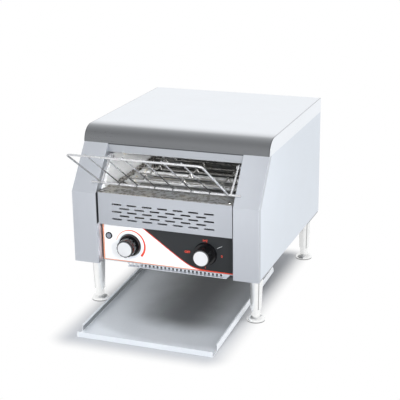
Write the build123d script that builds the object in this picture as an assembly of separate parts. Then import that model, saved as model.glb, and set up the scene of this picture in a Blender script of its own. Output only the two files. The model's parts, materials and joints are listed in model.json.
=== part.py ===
from build123d import *
from math import acos, atan2, cos, degrees, pi, radians, sin, sqrt, tan
import os

# Countertop conveyor toaster, all in millimetres.
# While it is built, x runs to the right, y runs into the toaster from the front face of its
# columns, and z runs up from the counter. At export everything moves so that the origin lies
# at the middle of the footprint, on the counter.

# ---------------------------------------------------------------- driving dimensions
SHEET = 1.0                   # stainless sheet of the case
BODY_WIDTH = 368.0
BODY_DEPTH = 427.0
PANEL_FOOT_Z = 101.0          # underside of the case, on top of the leg brackets
SHAFT_RISE = 113.0            # from there up to both conveyor shafts
TOASTING_SPACE = 48.0         # from the belt up to the middle of the upper tubes
COLUMN_WIDTH = 50.0           # front columns beside the opening
COLUMN_DROP = 3.0             # how far the columns reach below the case
COLUMN_RETURN = 9.0           # fold onto the side of the case
COLUMN_INNER_RETURN = 20.0    # fold into the opening
COLUMN_BEND = 2.0             # outside radius of the folds
KNEE_DROP = 2.5               # from the shelf down to where the columns start to slope back
LID_FRONT_Y = 62.0
LID_RADIUS = 29.0
LID_LIP = 9.0
LID_EDGE = 1.0                # rounding of the lid's side edges
FLANGE = 12.0                 # inward folds of the case panels

PANEL_Y = 20.0                # face of the recessed control panel
PANEL_SHEET = 1.2
PANEL_GAP = 2.0               # beside the columns
PANEL_OVERLAP = 8.5           # height hidden behind the vent cover
PANEL_DROP = 2.0              # how far the control panel reaches below the case
FILM = 0.4                    # printed front film
FILM_MARGIN = 1.5

VENT_Y = 3.0
VENT_LEFT_GAP = 2.6           # beside the columns
VENT_RIGHT_GAP = 1.6
VENT_HEIGHT = 62.0
SLOT_LENGTH = 19.6
SLOT_HEIGHT = 3.0
SLOT_LEFT_MARGIN = 28.1       # from the cover's ends to the first and last slots
SLOT_RIGHT_MARGIN = 34.1
SLOT_ROW_PITCH = 7.15
SLOT_ROWS = 5
SLOT_COLUMNS = 7
SLOT_DROP = 21.0              # from the cover's top edge to the first row
LOUVRE_ROWS = 8               # slots of the rear panel
LOUVRE_COLUMNS = 5
LOUVRE_RISE = 87.0

SHELF_FRONT_Y = 2.0
SHELF_DROP = 7.0
SHELF_GAP = 1.5               # to the peaks of the belt
SHELF_RISE = 0.5              # above the chains' pitch line

WALL_GAP = 5.0                # from the columns in to the chamber's walls
WALL_REAR_GAP = 16.5          # from the chute to the walls' rear edges
WALL_TOP_GAP = 2.0            # under the lid's skirt
LINTEL_DROP = 21.5            # from the lid's skirt down to the lintel
LINTEL_FACE = 16.5            # height of the lintel's upright face
LINTEL_SLOPE = 20.0           # from the lid's nose back to the lintel's flat part
LINTEL_DEPTH = 34.0

SHAFT_RADIUS = 5.0
SHAFT_CLEARANCE = 0.05        # radial running clearance in the bushes
BARREL_WALL = 3.0             # wall of bushes and hubs round a shaft
BUSH_FLANGE = 3.0
BUSH_FLANGE_THICKNESS = 2.0
BUSH_PROUD = 3.0              # past the outside of the chamber's wall
COLLAR_GAP = 0.5
COLLAR_WALL = 2.0
FRONT_SHAFT_Y = 88.0
CHAIN_PITCH = 12.0
CHAIN_LINKS = 42
LINKS_PER_BAR = 3
CHAIN_PITCH_RADIUS = 25.0
CHAIN_GAP = 9.0               # from the chamber's walls to the middle of each chain
CHAIN_WIDTH = 8.0
CHAIN_PLATE = 1.2
CHAIN_PLATE_RADIUS = 3.4
CHAIN_WAIST = 2.0             # half the height of a link plate between its pins
ROLLER_RADIUS = 3.0
SPROCKET_GAP = 0.5            # the belt is fixed, so the teeth stop this far short of it
SPROCKET_THICKNESS = 3.0
SPROCKET_TEETH = 12
DRIVEN_TEETH = 18
BAR_RADIUS = 1.5
BAR_PEAK = 8.0
BAR_PEAK_HALF_BASE = 5.0
BAR_PEAK_INSET = 42.0         # from the middle of a chain to the outer peaks

TUBE_RADIUS = 5.0
TUBE_COUNT = 3
TUBE_END_GAP = 36.7           # from a shaft to the nearest tube
TUBE_REACH = 2.0              # into the caps, past the chamber's walls
CAP_RADIUS = 8.0
CAP_LENGTH = 12.0
CAP_PROUD = 2.0               # into the chamber
REFLECTOR_RISE = 17.0         # upper reflector over the upper tubes
REFLECTOR_DROP = 15.0         # lower reflector under the lower tubes
REFLECTOR_MARGIN = 8.0        # lower reflector past the outer tubes
REFLECTOR_LIP = 4.0
SKIRT_RISE = 14.0             # lid's skirt over the upper reflector

CHUTE_GAP = 41.0              # from the chain's pitch line round to the chute
CHUTE_ANGLE = 25.0
CHUTE_TOP_DROP = 11.5         # under the lintel
CHUTE_REACH = 23.0            # past the heat shield
SHIELD_GAP = 3.0              # behind the gear motor
SHIELD_DROP = 15.0            # under the belt's lower pitch line
OUTLET_GAP = 8.4              # behind the chute, where it passes the base plate
OUTLET_MARGIN = 0.5

SPEED_KNOB_INSET = 55.4       # of each knob, from its end of the control panel
SELECTOR_KNOB_INSET = 57.2
KNOB_RISE = 33.8              # over the underside of the case
LAMP_INSET = 12.7
LAMP_RISE = 48.6
SKIRT_RADIUS = 22.5
SKIRT_DEPTH = 5.0
SKIRT_TAPER = 20.0
GRIP_RADIUS = 17.6
GRIP_DEPTH = 18.5
GRIP_TAPER = 2.0
KNOB_CAP_RADIUS = 15.4
KNOB_CAP_DEPTH = 2.0
KNOB_GAP = 0.4                # behind the skirt
KNOB_WALL = 6.0               # in front of the spindle
KNOB_POCKET = 5.0             # depth of the hollow over the nut
POINTER_HALF_WIDTH = 1.6
FLUTES = 12
FLUTE_RADIUS = 1.6
SPINDLE_RADIUS = 3.0
SPINDLE_DEPTH = 9.0           # behind the panel
SPINDLE_END_GAP = 1.0
BUSH_RADIUS = 5.0             # threaded bush of a control
BUSH_REACH = 4.0              # past the knob's back
NUT_WALL = 3.0
NUT_HEIGHT = 2.5
LAMP_RADIUS = 6.8
LAMP_BARREL_WALL = 0.7
LAMP_BARREL_DEPTH = 14.0
BEZEL_DEPTH = 1.5
LENS_RADIUS = 4.8
LENS_DEPTH = 3.0
LENS_REAR = 8.0

GUARD_LEFT_INSET = 48.0       # from the ends of the control panel
GUARD_RIGHT_INSET = 11.0
GUARD_HEIGHT = 7.8
GUARD_BEVEL = 4.0             # cut off its lower corners
GUARD_SLOT = 3.9
GUARD_PITCH = 7.91
GUARD_SLOT_START = 6.2        # from the strip's left end to the middle of the first slot
GUARD_SLOT_END = 16.5         # least distance from the last slot's middle to the right end
GUARD_LIP = 6.0               # in front of the control panel

MOTOR_Y = 71.0
MOTOR_RISE = 39.0
MOTOR_RADIUS = 23.0
MOTOR_CAN_STEP = 2.0
MOTOR_LENGTH = 45.0
GEARBOX_LENGTH = 30.0
OUTPUT_DEPTH = 15.0           # bore of the gearbox for its output shaft
DRIVE_GAP = 21.0              # from the right wall to the plane of the short drive chain
MOTOR_SPROCKET_RADIUS = 16.0  # pitch radii of the short drive chain
MOTOR_TEETH = 12
DRIVE_SPROCKET_RADIUS = 24.0
DRIVE_CHAIN_HALF_HEIGHT = 2.5

LEG_INSET = 23.0              # from the sides of the case
FRONT_LEG_Y = 56.0
REAR_LEG_INSET = 28.0
LEG_TOP_RADIUS = 13.5
LEG_FOOT_RADIUS = 10.3
LEG_FOOT_Z = 24.0
LEG_WALL = 1.5
LEG_PLUG = 18.0
BRACKET_SHEET = 1.5
BRACKET_LENGTH = 82.0
BRACKET_HEIGHT = 4.0
FOOT_RADIUS = 17.0
FOOT_EDGE = 3.0
FOOT_FLARE = 7.0
FOOT_FLARE_RADIUS = 11.0
NECK_RADIUS = 8.5
STEM_RADIUS = 4.0
STEM_LENGTH = 38.0

TRAY_SHEET = 1.0
TRAY_GAP = 6.8                # beside the right feet
TRAY_SHIFT_X = 5.8            # the loose tray lies a little right of the middle
TRAY_FRONT_Y = -119.0
TRAY_REAR_Y = 250.0
TRAY_RISE = 0.055             # mm per mm towards the rear
TRAY_FRONT_LIP = 10.0
TRAY_SIDE = 13.0
TRAY_SIDE_START = 24.0
TRAY_SIDE_CORNER = 6.0        # cut off the rear upper corners of the sides
TRAY_HEM = 2.4
TRAY_FOLD_INSET = 18.0        # of the rear fold, from the sides

RACK_LENGTH = 164.07          # between the middles of the front bar and the lower bar
RACK_ANGLE = 33.7             # over the horizontal
RACK_GAP = 5.0                # beside the chamber's walls
RACK_FRAME_RADIUS = 1.75
RACK_WIRE_RADIUS = 1.1
RACK_WIRES = 6
RACK_CORNER = 9.0
RACK_ROD_RADIUS = 2.0
RACK_ROD_REACH = 12.6         # over the front of each column
RACK_ROD_RISE = 19.0          # over the knee
RACK_WELD_ANGLE = radians(10)
RACK_TIP = 2.0                # how far the wires' tips pass the front bar
RACK_ARM_GAP = 7.0            # beside the columns
RACK_PIN_RISE = 6.0           # over the upper tubes
RACK_PIN_DEPTH = 17.1         # behind the columns' front
RACK_PIN_RADIUS = 2.5
RACK_PIN_HEAD = 1.5
RACK_PIN_GAP = 1.0            # between the pin's head and the hook
RACK_HOOK_CLEARANCE = 0.15
RACK_HOOK_TURN = 190.0
WELD = 0.3                    # how far welded wires sink into each other
REST_GAP = 0.3                # between a resting rod and the sheet under it

GLAND_INSET = 34.0
GLAND_RISE = 29.0
GLAND_BORE = 4.5
GLAND_WALL = 4.0
GLAND_HEX = 2.5               # corners of the hexagons past the round body
GLAND_LENGTH = 15.0
GLAND_COLLAR = 6.0
GLAND_NUT = 5.0
GLAND_TAIL = 8.0
SCREW_HEAD_RADIUS = 3.6
SCREW_HEAD_HEIGHT = 2.0
SCREW_RADIUS = 2.0
SCREW_LENGTH = 7.0

# ---------------------------------------------------------------- worked-out places
HALF = BODY_WIDTH / 2
COLUMN_X = HALF - COLUMN_WIDTH
PANEL_HALF_WIDTH = COLUMN_X - PANEL_GAP
VENT_LEFT_X = VENT_LEFT_GAP - COLUMN_X
VENT_RIGHT_X = COLUMN_X - VENT_RIGHT_GAP
FIRST_SLOT_X = VENT_LEFT_X + SLOT_LEFT_MARGIN + SLOT_LENGTH / 2
SLOT_PITCH = (VENT_RIGHT_X - SLOT_RIGHT_MARGIN - SLOT_LENGTH / 2 - FIRST_SLOT_X) / (SLOT_COLUMNS - 1)
WALL_X = COLUMN_X - WALL_GAP  # inner faces of the toasting chamber
CHAIN_X = WALL_X - CHAIN_GAP
BAR_PEAK_PITCH = CHAIN_X - BAR_PEAK_INSET
DRIVE_X = WALL_X + DRIVE_GAP
LEG_X = HALF - LEG_INSET
LEG_YS = (FRONT_LEG_Y, BODY_DEPTH - REAR_LEG_INSET)
TRAY_HALF_WIDTH = LEG_X - FOOT_RADIUS - TRAY_GAP - TRAY_SHIFT_X
GUARD_LEFT_X = GUARD_LEFT_INSET - PANEL_HALF_WIDTH
GUARD_RIGHT_X = PANEL_HALF_WIDTH - GUARD_RIGHT_INSET
GLAND_X = GLAND_INSET - HALF
RACK_HALF_WIDTH = WALL_X - RACK_GAP
RACK_ARM_X = COLUMN_X - RACK_ARM_GAP
RACK_ROD_HALF_LENGTH = COLUMN_X + RACK_ROD_REACH

COLUMN_FOOT_Z = PANEL_FOOT_Z - COLUMN_DROP
BRACKET_FOOT_Z = PANEL_FOOT_Z - BRACKET_HEIGHT
GUARD_FOOT_Z = PANEL_FOOT_Z - GUARD_HEIGHT
BASE_Z = PANEL_FOOT_Z + SHEET
FLOOR_Z = BASE_Z + SHEET
MOTOR_Z = PANEL_FOOT_Z + MOTOR_RISE
GLAND_Z = PANEL_FOOT_Z + GLAND_RISE
SHAFT_Z = PANEL_FOOT_Z + SHAFT_RISE
VENT_TOP_Z = SHAFT_Z + CHAIN_PITCH_RADIUS + SHELF_RISE
VENT_FOOT_Z = VENT_TOP_Z - VENT_HEIGHT
PANEL_TOP_Z = VENT_FOOT_Z + PANEL_OVERLAP
KNEE_Z = VENT_TOP_Z - KNEE_DROP
UPPER_TUBE_Z = SHAFT_Z + CHAIN_PITCH_RADIUS + TOASTING_SPACE
UPPER_REFLECTOR_Z = UPPER_TUBE_Z + REFLECTOR_RISE
LOWER_REFLECTOR_Z = SHAFT_Z - REFLECTOR_DROP
SKIRT_Z = UPPER_REFLECTOR_Z + SKIRT_RISE
BODY_HEIGHT = SKIRT_Z + LID_RADIUS
WALL_TOP_Z = SKIRT_Z - WALL_TOP_GAP
LINTEL_Z = SKIRT_Z - LINTEL_DROP
CHUTE_TOP_Z = LINTEL_Z - CHUTE_TOP_DROP
SHIELD_TOP_Z = SHAFT_Z - CHAIN_PITCH_RADIUS - SHIELD_DROP
SLOPE = atan2(SKIRT_Z - KNEE_Z, LID_FRONT_Y)

PANEL_BACK_Y = PANEL_Y + PANEL_SHEET
FILM_Y = PANEL_Y - FILM
KNOB_BACK_Y = FILM_Y - KNOB_GAP
KNOB_FRONT_Y = KNOB_BACK_Y - SKIRT_DEPTH - GRIP_DEPTH
SHELF_REAR_Y = FRONT_SHAFT_Y - CHAIN_PITCH_RADIUS - BAR_PEAK - BAR_RADIUS - SHELF_GAP
LINTEL_SLOPE_Y = LID_FRONT_Y + LINTEL_SLOPE
LINTEL_REAR_Y = LID_FRONT_Y + LINTEL_DEPTH
SHIELD_REAR_Y = MOTOR_Y + MOTOR_RADIUS + SHIELD_GAP
CHUTE_END_Y = SHIELD_REAR_Y + CHUTE_REACH
REAR_SHAFT_Y = FRONT_SHAFT_Y + (CHAIN_LINKS * CHAIN_PITCH - 2 * pi * CHAIN_PITCH_RADIUS) / 2
CHUTE_RADIUS = CHAIN_PITCH_RADIUS + CHUTE_GAP
WALL_REAR_Y = REAR_SHAFT_Y + CHUTE_RADIUS + SHEET + WALL_REAR_GAP
TUBE_PITCH = (REAR_SHAFT_Y - FRONT_SHAFT_Y - 2 * TUBE_END_GAP) / (TUBE_COUNT - 1)
TUBE_YS = [FRONT_SHAFT_Y + TUBE_END_GAP + index * TUBE_PITCH for index in range(TUBE_COUNT)]
CHUTE_LEAN = radians(CHUTE_ANGLE)
CHUTE_BEND_Y = REAR_SHAFT_Y + CHUTE_RADIUS * sin(CHUTE_LEAN)
CHUTE_BEND_Z = SHAFT_Z - CHUTE_RADIUS * cos(CHUTE_LEAN)
OUTLET_REAR_Y = CHUTE_BEND_Y - (CHUTE_BEND_Z - FLOOR_Z) / tan(CHUTE_LEAN) + OUTLET_GAP
SPROCKET_RADIUS = CHAIN_PITCH_RADIUS - ROLLER_RADIUS - SPROCKET_GAP
SPEED_KNOB = (SPEED_KNOB_INSET - PANEL_HALF_WIDTH, PANEL_FOOT_Z + KNOB_RISE)   # x, z of each control
SELECTOR_KNOB = (PANEL_HALF_WIDTH - SELECTOR_KNOB_INSET, PANEL_FOOT_Z + KNOB_RISE)
LAMP = (LAMP_INSET - PANEL_HALF_WIDTH, PANEL_FOOT_Z + LAMP_RISE)
RACK_ROD_Z = KNEE_Z + RACK_ROD_RISE
RACK_PIN_Z = UPPER_TUBE_Z + RACK_PIN_RISE
RACK_PIN = ((RACK_PIN_Z - KNEE_Z) / tan(SLOPE) + RACK_PIN_DEPTH, RACK_PIN_Z)   # y, z
Y_REAR = BODY_DEPTH + GLAND_LENGTH

CENTRED = (Align.CENTER, Align.CENTER, Align.CENTER)
FROM_START = (Align.CENTER, Align.CENTER, Align.MIN)


# ---------------------------------------------------------------- helpers
def block(low, high):
    """A box between two corners."""
    size = [b - a for a, b in zip(low, high)]
    middle = [(a + b) / 2 for a, b in zip(low, high)]
    return Pos(*middle) * Box(*size, align=CENTRED)


def rod(start, end, radius):
    """A round rod between two points."""
    start = Vector(*start)
    run = Vector(*end) - start
    return Plane(origin=start, z_dir=run) * Cylinder(radius, run.length, align=FROM_START)


def side_plate(outline, x0, x1):
    """A flat piece with a (y, z) outline, from x0 to x1."""
    face = Plane.YZ.offset(x0) * make_face(Polyline(*outline, close=True))
    return extrude(face, x1 - x0, dir=(1, 0, 0))


def front_plate(sketch, y0, y1):
    """A flat piece whose sketch is drawn in x and z, from y0 to y1."""
    plane = Plane(origin=(0, y0, 0), x_dir=(1, 0, 0), z_dir=(0, -1, 0))
    return extrude(plane * sketch, y1 - y0, dir=(0, 1, 0))


def rectangle(x0, z0, x1, z1):
    return Pos((x0 + x1) / 2, (z0 + z1) / 2) * Rectangle(x1 - x0, z1 - z0)


def offset_line(points, distance):
    """An open (y, z) line moved to its right by a distance, with mitred corners."""
    runs = []
    for (y0, z0), (y1, z1) in zip(points, points[1:]):
        length = sqrt((y1 - y0) ** 2 + (z1 - z0) ** 2)
        runs.append(((z1 - z0) / length, -(y1 - y0) / length))
    normals = [runs[0]] + list(zip(runs, runs[1:])) + [runs[-1]]
    moved = []
    for (y, z), normal in zip(points, normals):
        if isinstance(normal[0], tuple):
            (ay, az), (by, bz) = normal
            scale = distance / (1 + ay * by + az * bz)
            moved.append((y + (ay + by) * scale, z + (az + bz) * scale))
        else:
            moved.append((y + normal[0] * distance, z + normal[1] * distance))
    return moved


def bent_sheet(points, thickness, x0, x1):
    """A folded sheet: one face follows the (y, z) points, the sheet lies to their right."""
    return side_plate(list(points) + offset_line(points, thickness)[::-1], x0, x1)


def front_line(inset, foot, top=SKIRT_Z):
    """The (y, z) line of the columns' front, moved in by an inset, up to a height."""
    run = inset * (1 - sin(SLOPE)) / cos(SLOPE)
    knee_z = KNEE_Z - inset * cos(SLOPE) + run * sin(SLOPE)
    top_y = inset + (top - knee_z) / tan(SLOPE)
    return [(inset, foot), (inset, knee_z), (top_y, top)]


def both_sides(piece):
    """A piece and its mirror image across the middle of the toaster."""
    return piece, mirror(piece, about=Plane.YZ)


def group(pieces):
    """Separate solids that share one node."""
    solids = []
    for piece in pieces:
        solids.extend(piece.solids())
    return Compound(solids)


# ---------------------------------------------------------------- case
def front_column():
    """Right front column: one folded sheet, upright below the knee and sloping above it."""
    outer = side_plate(
        front_line(0, COLUMN_FOOT_Z) + front_line(COLUMN_INNER_RETURN, COLUMN_FOOT_Z)[::-1],
        COLUMN_X, HALF)
    core = side_plate(
        front_line(SHEET, COLUMN_FOOT_Z) + front_line(2 * COLUMN_INNER_RETURN, COLUMN_FOOT_Z)[::-1],
        COLUMN_X + SHEET, HALF - SHEET)
    outer = fillet(front_folds(outer, 0), COLUMN_BEND)
    core = fillet(front_folds(core, SHEET), COLUMN_BEND - SHEET)
    spare = side_plate(
        front_line(COLUMN_RETURN, COLUMN_FOOT_Z)
        + front_line(2 * COLUMN_INNER_RETURN, COLUMN_FOOT_Z)[::-1],
        COLUMN_X + 2 * SHEET, HALF + SHEET)
    foot = block((COLUMN_X + SHEET, SHEET, COLUMN_FOOT_Z),
                 (HALF - SHEET, COLUMN_RETURN, COLUMN_FOOT_Z + SHEET))
    return outer - core - spare + foot


def front_folds(solid, inset):
    """The long edges of a column blank that lie on its front line."""
    line = front_line(inset, COLUMN_FOOT_Z)
    middles = [((a[0] + b[0]) / 2, (a[1] + b[1]) / 2) for a, b in zip(line, line[1:])]
    found = []
    for edge in solid.edges():
        centre = edge.center()
        if any(abs(centre.Y - y) < 0.1 and abs(centre.Z - z) < 0.1 for y, z in middles):
            found.append(edge)
    return found


def side_panel():
    """Right side panel, with folds that carry the base and the lid."""
    front = front_line(COLUMN_RETURN, PANEL_FOOT_Z)
    outline = front + [(BODY_DEPTH, SKIRT_Z), (BODY_DEPTH, PANEL_FOOT_Z)]
    inner_x = HALF - SHEET
    foot = block((inner_x - FLANGE, COLUMN_RETURN, PANEL_FOOT_Z), (inner_x, BODY_DEPTH - SHEET, BASE_Z))
    top = block((inner_x - FLANGE, LINTEL_REAR_Y, SKIRT_Z - SHEET), (inner_x, BODY_DEPTH - SHEET, SKIRT_Z))
    return side_plate(outline, inner_x, HALF) + drill_bracket_holes(foot) + top


def lid_outline(inset, foot):
    """The lid's (y, z) section, moved in by an inset, down to a foot height."""
    front = LID_FRONT_Y + inset
    rear = BODY_DEPTH + SHEET - inset
    radius = LID_RADIUS - inset
    blank = rectangle(front, foot, rear, BODY_HEIGHT - inset)
    nose = rectangle(front, SKIRT_Z, front + radius, BODY_HEIGHT)
    return blank - nose + (nose & Pos(front + radius, SKIRT_Z) * Circle(radius))


def top_cover():
    """The lid: a rounded nose, a flat top and folds on all four sides."""
    shell = extrude(Plane.YZ.offset(-HALF) * lid_outline(0, SKIRT_Z), BODY_WIDTH, dir=(1, 0, 0))
    shell = fillet(lid_side_edges(shell), LID_EDGE)
    core = extrude(Plane.YZ.offset(-HALF + SHEET) * lid_outline(SHEET, 0), BODY_WIDTH - 2 * SHEET,
                   dir=(1, 0, 0))
    lip = block((-HALF + SHEET, LID_FRONT_Y + SHEET, SKIRT_Z),
                (HALF - SHEET, LID_FRONT_Y + LID_LIP, SKIRT_Z + SHEET))
    lid = shell - core + lip
    for x, z in rear_screw_places(True):
        lid -= rod((x, BODY_DEPTH - SHEET, z), (x, BODY_DEPTH + 2 * SHEET, z), SCREW_RADIUS)
    return lid


def lid_side_edges(shell):
    """The long edges between the lid's top and nose and its two sides."""
    found = []
    for edge in shell.edges():
        centre = edge.center()
        if abs(abs(centre.X) - HALF) < 0.01 and centre.Z > SKIRT_Z + LID_RADIUS / 4 and centre.Y < BODY_DEPTH:
            found.append(edge)
    return found


def rear_screw_places(on_lid):
    """x and z of the screws through the lid's rear fold, or through the rear panel alone."""
    inset = 2 * FLANGE
    if on_lid:
        return [(x, (SKIRT_Z + BODY_HEIGHT) / 2 - SHEET) for x in (inset - HALF, 0, HALF - inset)]
    return [(x, z) for x in (inset / 3 - HALF, HALF - inset / 3) for z in (FLOOR_Z + inset, SKIRT_Z - inset)]


def rear_panel():
    """Rear panel with louvre slots, the gland's hole and folds against the side panels."""
    half = HALF - SHEET
    top = SKIRT_Z + LID_RADIUS / 2 + SCREW_HEAD_RADIUS
    sketch = rectangle(-half, BASE_Z, half, top)
    for row in range(LOUVRE_ROWS):
        z = FLOOR_Z + LOUVRE_RISE + row * 2 * SLOT_ROW_PITCH
        for column in range(LOUVRE_COLUMNS):
            x = (column - (LOUVRE_COLUMNS - 1) / 2) * 2 * SLOT_PITCH
            sketch -= Pos(x, z) * SlotOverall(2 * SLOT_LENGTH, SLOT_HEIGHT)
    sketch -= Pos(GLAND_X, GLAND_Z) * Circle(GLAND_BORE + GLAND_WALL)
    for x, z in rear_screw_places(True) + rear_screw_places(False):
        sketch -= Pos(x, z) * Circle(SCREW_RADIUS)
    panel = front_plate(sketch, BODY_DEPTH - SHEET, BODY_DEPTH)
    fold = block((half - SHEET, BODY_DEPTH - FLANGE, FLOOR_Z),
                 (half, BODY_DEPTH - SHEET, SKIRT_Z - 2 * SHEET))
    return panel + group(both_sides(fold)).solids()


def base_plate():
    """Floor of the case, with the opening that the toast drops through."""
    plate = block((SHEET - HALF, PANEL_BACK_Y, BASE_Z), (HALF - SHEET, BODY_DEPTH - SHEET, FLOOR_Z))
    half = WALL_X + OUTLET_MARGIN
    outlet = block((-half, SHIELD_REAR_Y + SHEET, BASE_Z - SHEET), (half, OUTLET_REAR_Y, FLOOR_Z + SHEET))
    plate = drill_bracket_holes(plate - outlet)
    return mirror(drill_bracket_holes(mirror(plate, about=Plane.YZ)), about=Plane.YZ)


def inner_wall():
    """Right wall of the toasting chamber, with holes for the shafts, the tubes and the drive."""
    front = front_line(PANEL_BACK_Y, FLOOR_Z, LINTEL_Z - SHEET)
    outline = front + [(LINTEL_REAR_Y + SHEET, LINTEL_Z - SHEET), (LINTEL_REAR_Y + SHEET, WALL_TOP_Z),
                       (WALL_REAR_Y, WALL_TOP_Z), (WALL_REAR_Y, FLOOR_Z)]
    wall = side_plate(outline, WALL_X, WALL_X + SHEET)
    foot = block((WALL_X + SHEET, SHIELD_REAR_Y, FLOOR_Z),
                 (WALL_X + SHEET + FLANGE, WALL_REAR_Y, FLOOR_Z + SHEET))
    closer = side_plate(
        front_line(COLUMN_INNER_RETURN, PANEL_TOP_Z, LINTEL_Z - SHEET)
        + front_line(PANEL_BACK_Y, PANEL_TOP_Z, LINTEL_Z - SHEET)[::-1],
        WALL_X, COLUMN_X + FLANGE)
    wall += foot
    wall += closer
    for y, z in shaft_places():
        wall -= rod((0, y, z), (HALF, y, z), SHAFT_RADIUS + BARREL_WALL)
    for y, z in tube_places():
        wall -= rod((0, y, z), (HALF, y, z), CAP_RADIUS)
    return wall


def shaft_places():
    return [(FRONT_SHAFT_Y, SHAFT_Z), (REAR_SHAFT_Y, SHAFT_Z)]


def tube_places():
    return [(y, z) for z in (UPPER_TUBE_Z, SHAFT_Z) for y in TUBE_YS]


def right_inner_wall():
    """The right wall has one more hole, for the motor's output shaft."""
    hole = rod((0, MOTOR_Y, MOTOR_Z), (HALF, MOTOR_Y, MOTOR_Z), SHAFT_RADIUS + BARREL_WALL)
    return inner_wall() - hole


def lintel_panel():
    """Folded strip that closes the space between the lid's nose and the upper reflector."""
    face_y = LID_FRONT_Y + SHEET
    line = [(LID_FRONT_Y + LID_LIP, SKIRT_Z), (face_y, SKIRT_Z), (face_y, SKIRT_Z - LINTEL_FACE),
            (LINTEL_SLOPE_Y, LINTEL_Z), (LINTEL_REAR_Y, LINTEL_Z)]
    return bent_sheet(line, -SHEET, -COLUMN_X, COLUMN_X)


def feed_shelf():
    """Polished strip that the bread slides over, from the vent cover to the belt."""
    front = block((-PANEL_HALF_WIDTH, SHELF_FRONT_Y, VENT_TOP_Z),
                  (PANEL_HALF_WIDTH, PANEL_Y - SHEET, VENT_TOP_Z + SHEET))
    rear = block((-WALL_X, PANEL_Y - SHEET, VENT_TOP_Z), (WALL_X, SHELF_REAR_Y, VENT_TOP_Z + SHEET))
    drop = block((-WALL_X, SHELF_REAR_Y - SHEET, VENT_TOP_Z - SHELF_DROP), (WALL_X, SHELF_REAR_Y, VENT_TOP_Z))
    shelf = front + rear + drop
    for x, y in shelf_screw_places():
        shelf -= rod((x, y, VENT_TOP_Z - SHEET), (x, y, VENT_TOP_Z + 2 * SHEET), SCREW_RADIUS)
    return shelf


def shelf_screw_places():
    inset = PANEL_HALF_WIDTH - 2 * SCREW_HEAD_RADIUS
    return [(x, (VENT_Y + PANEL_Y) / 2) for x in (-inset, inset)]


def vent_cover():
    """Slotted cover between the columns, above the control panel."""
    sketch = rectangle(VENT_LEFT_X, VENT_FOOT_Z, VENT_RIGHT_X, VENT_TOP_Z)
    for row in range(SLOT_ROWS):
        shift = row % 2
        for column in range(SLOT_COLUMNS - shift):
            x = FIRST_SLOT_X + (column + shift / 2) * SLOT_PITCH
            z = VENT_TOP_Z - SLOT_DROP - row * SLOT_ROW_PITCH
            sketch -= Pos(x, z) * SlotOverall(SLOT_LENGTH, SLOT_HEIGHT)
    cover = front_plate(sketch, VENT_Y, VENT_Y + SHEET)
    cover += block((VENT_LEFT_X, VENT_Y, VENT_FOOT_Z), (VENT_RIGHT_X, PANEL_Y, VENT_FOOT_Z + SHEET))
    cover += block((VENT_LEFT_X, VENT_Y, VENT_FOOT_Z), (VENT_LEFT_X + SHEET, PANEL_Y - SHEET, VENT_TOP_Z))
    cover += block((VENT_RIGHT_X - SHEET, VENT_Y, VENT_FOOT_Z), (VENT_RIGHT_X, PANEL_Y - SHEET, VENT_TOP_Z))
    for x, y in shelf_screw_places():
        tab = block((x - FLANGE / 2, VENT_Y, VENT_TOP_Z - SHEET),
                    (x + FLANGE / 2, PANEL_Y - SHEET, VENT_TOP_Z))
        tab = tab & block((VENT_LEFT_X, 0, 0), (VENT_RIGHT_X, PANEL_Y, BODY_HEIGHT))
        cover += tab
        cover -= rod((x, y, VENT_TOP_Z - 2 * SHEET), (x, y, VENT_TOP_Z + SHEET), SCREW_RADIUS)
    return cover


def control_panel():
    """Recessed panel that carries the controls, with a flange under the base plate."""
    sketch = rectangle(-PANEL_HALF_WIDTH, PANEL_FOOT_Z - PANEL_DROP, PANEL_HALF_WIDTH, PANEL_TOP_Z)
    sketch -= control_holes()
    flange = block((-PANEL_HALF_WIDTH, PANEL_BACK_Y, PANEL_FOOT_Z),
                   (PANEL_HALF_WIDTH, PANEL_BACK_Y + FLANGE, BASE_Z))
    return front_plate(sketch, PANEL_Y, PANEL_BACK_Y) + flange


def control_holes():
    """Holes for the two spindle bushes and the lamp."""
    holes = Pos(*LAMP) * Circle(LENS_RADIUS + LAMP_BARREL_WALL)
    for place in (SPEED_KNOB, SELECTOR_KNOB):
        holes += Pos(*place) * Circle(BUSH_RADIUS)
    return holes


def control_overlay():
    """Printed film stuck to the front of the control panel."""
    foot = PANEL_FOOT_Z - PANEL_DROP + FILM_MARGIN
    sketch = rectangle(-PANEL_HALF_WIDTH, foot, PANEL_HALF_WIDTH, VENT_FOOT_Z - SHEET / 2)
    return front_plate(sketch - control_holes(), FILM_Y, PANEL_Y)


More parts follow.
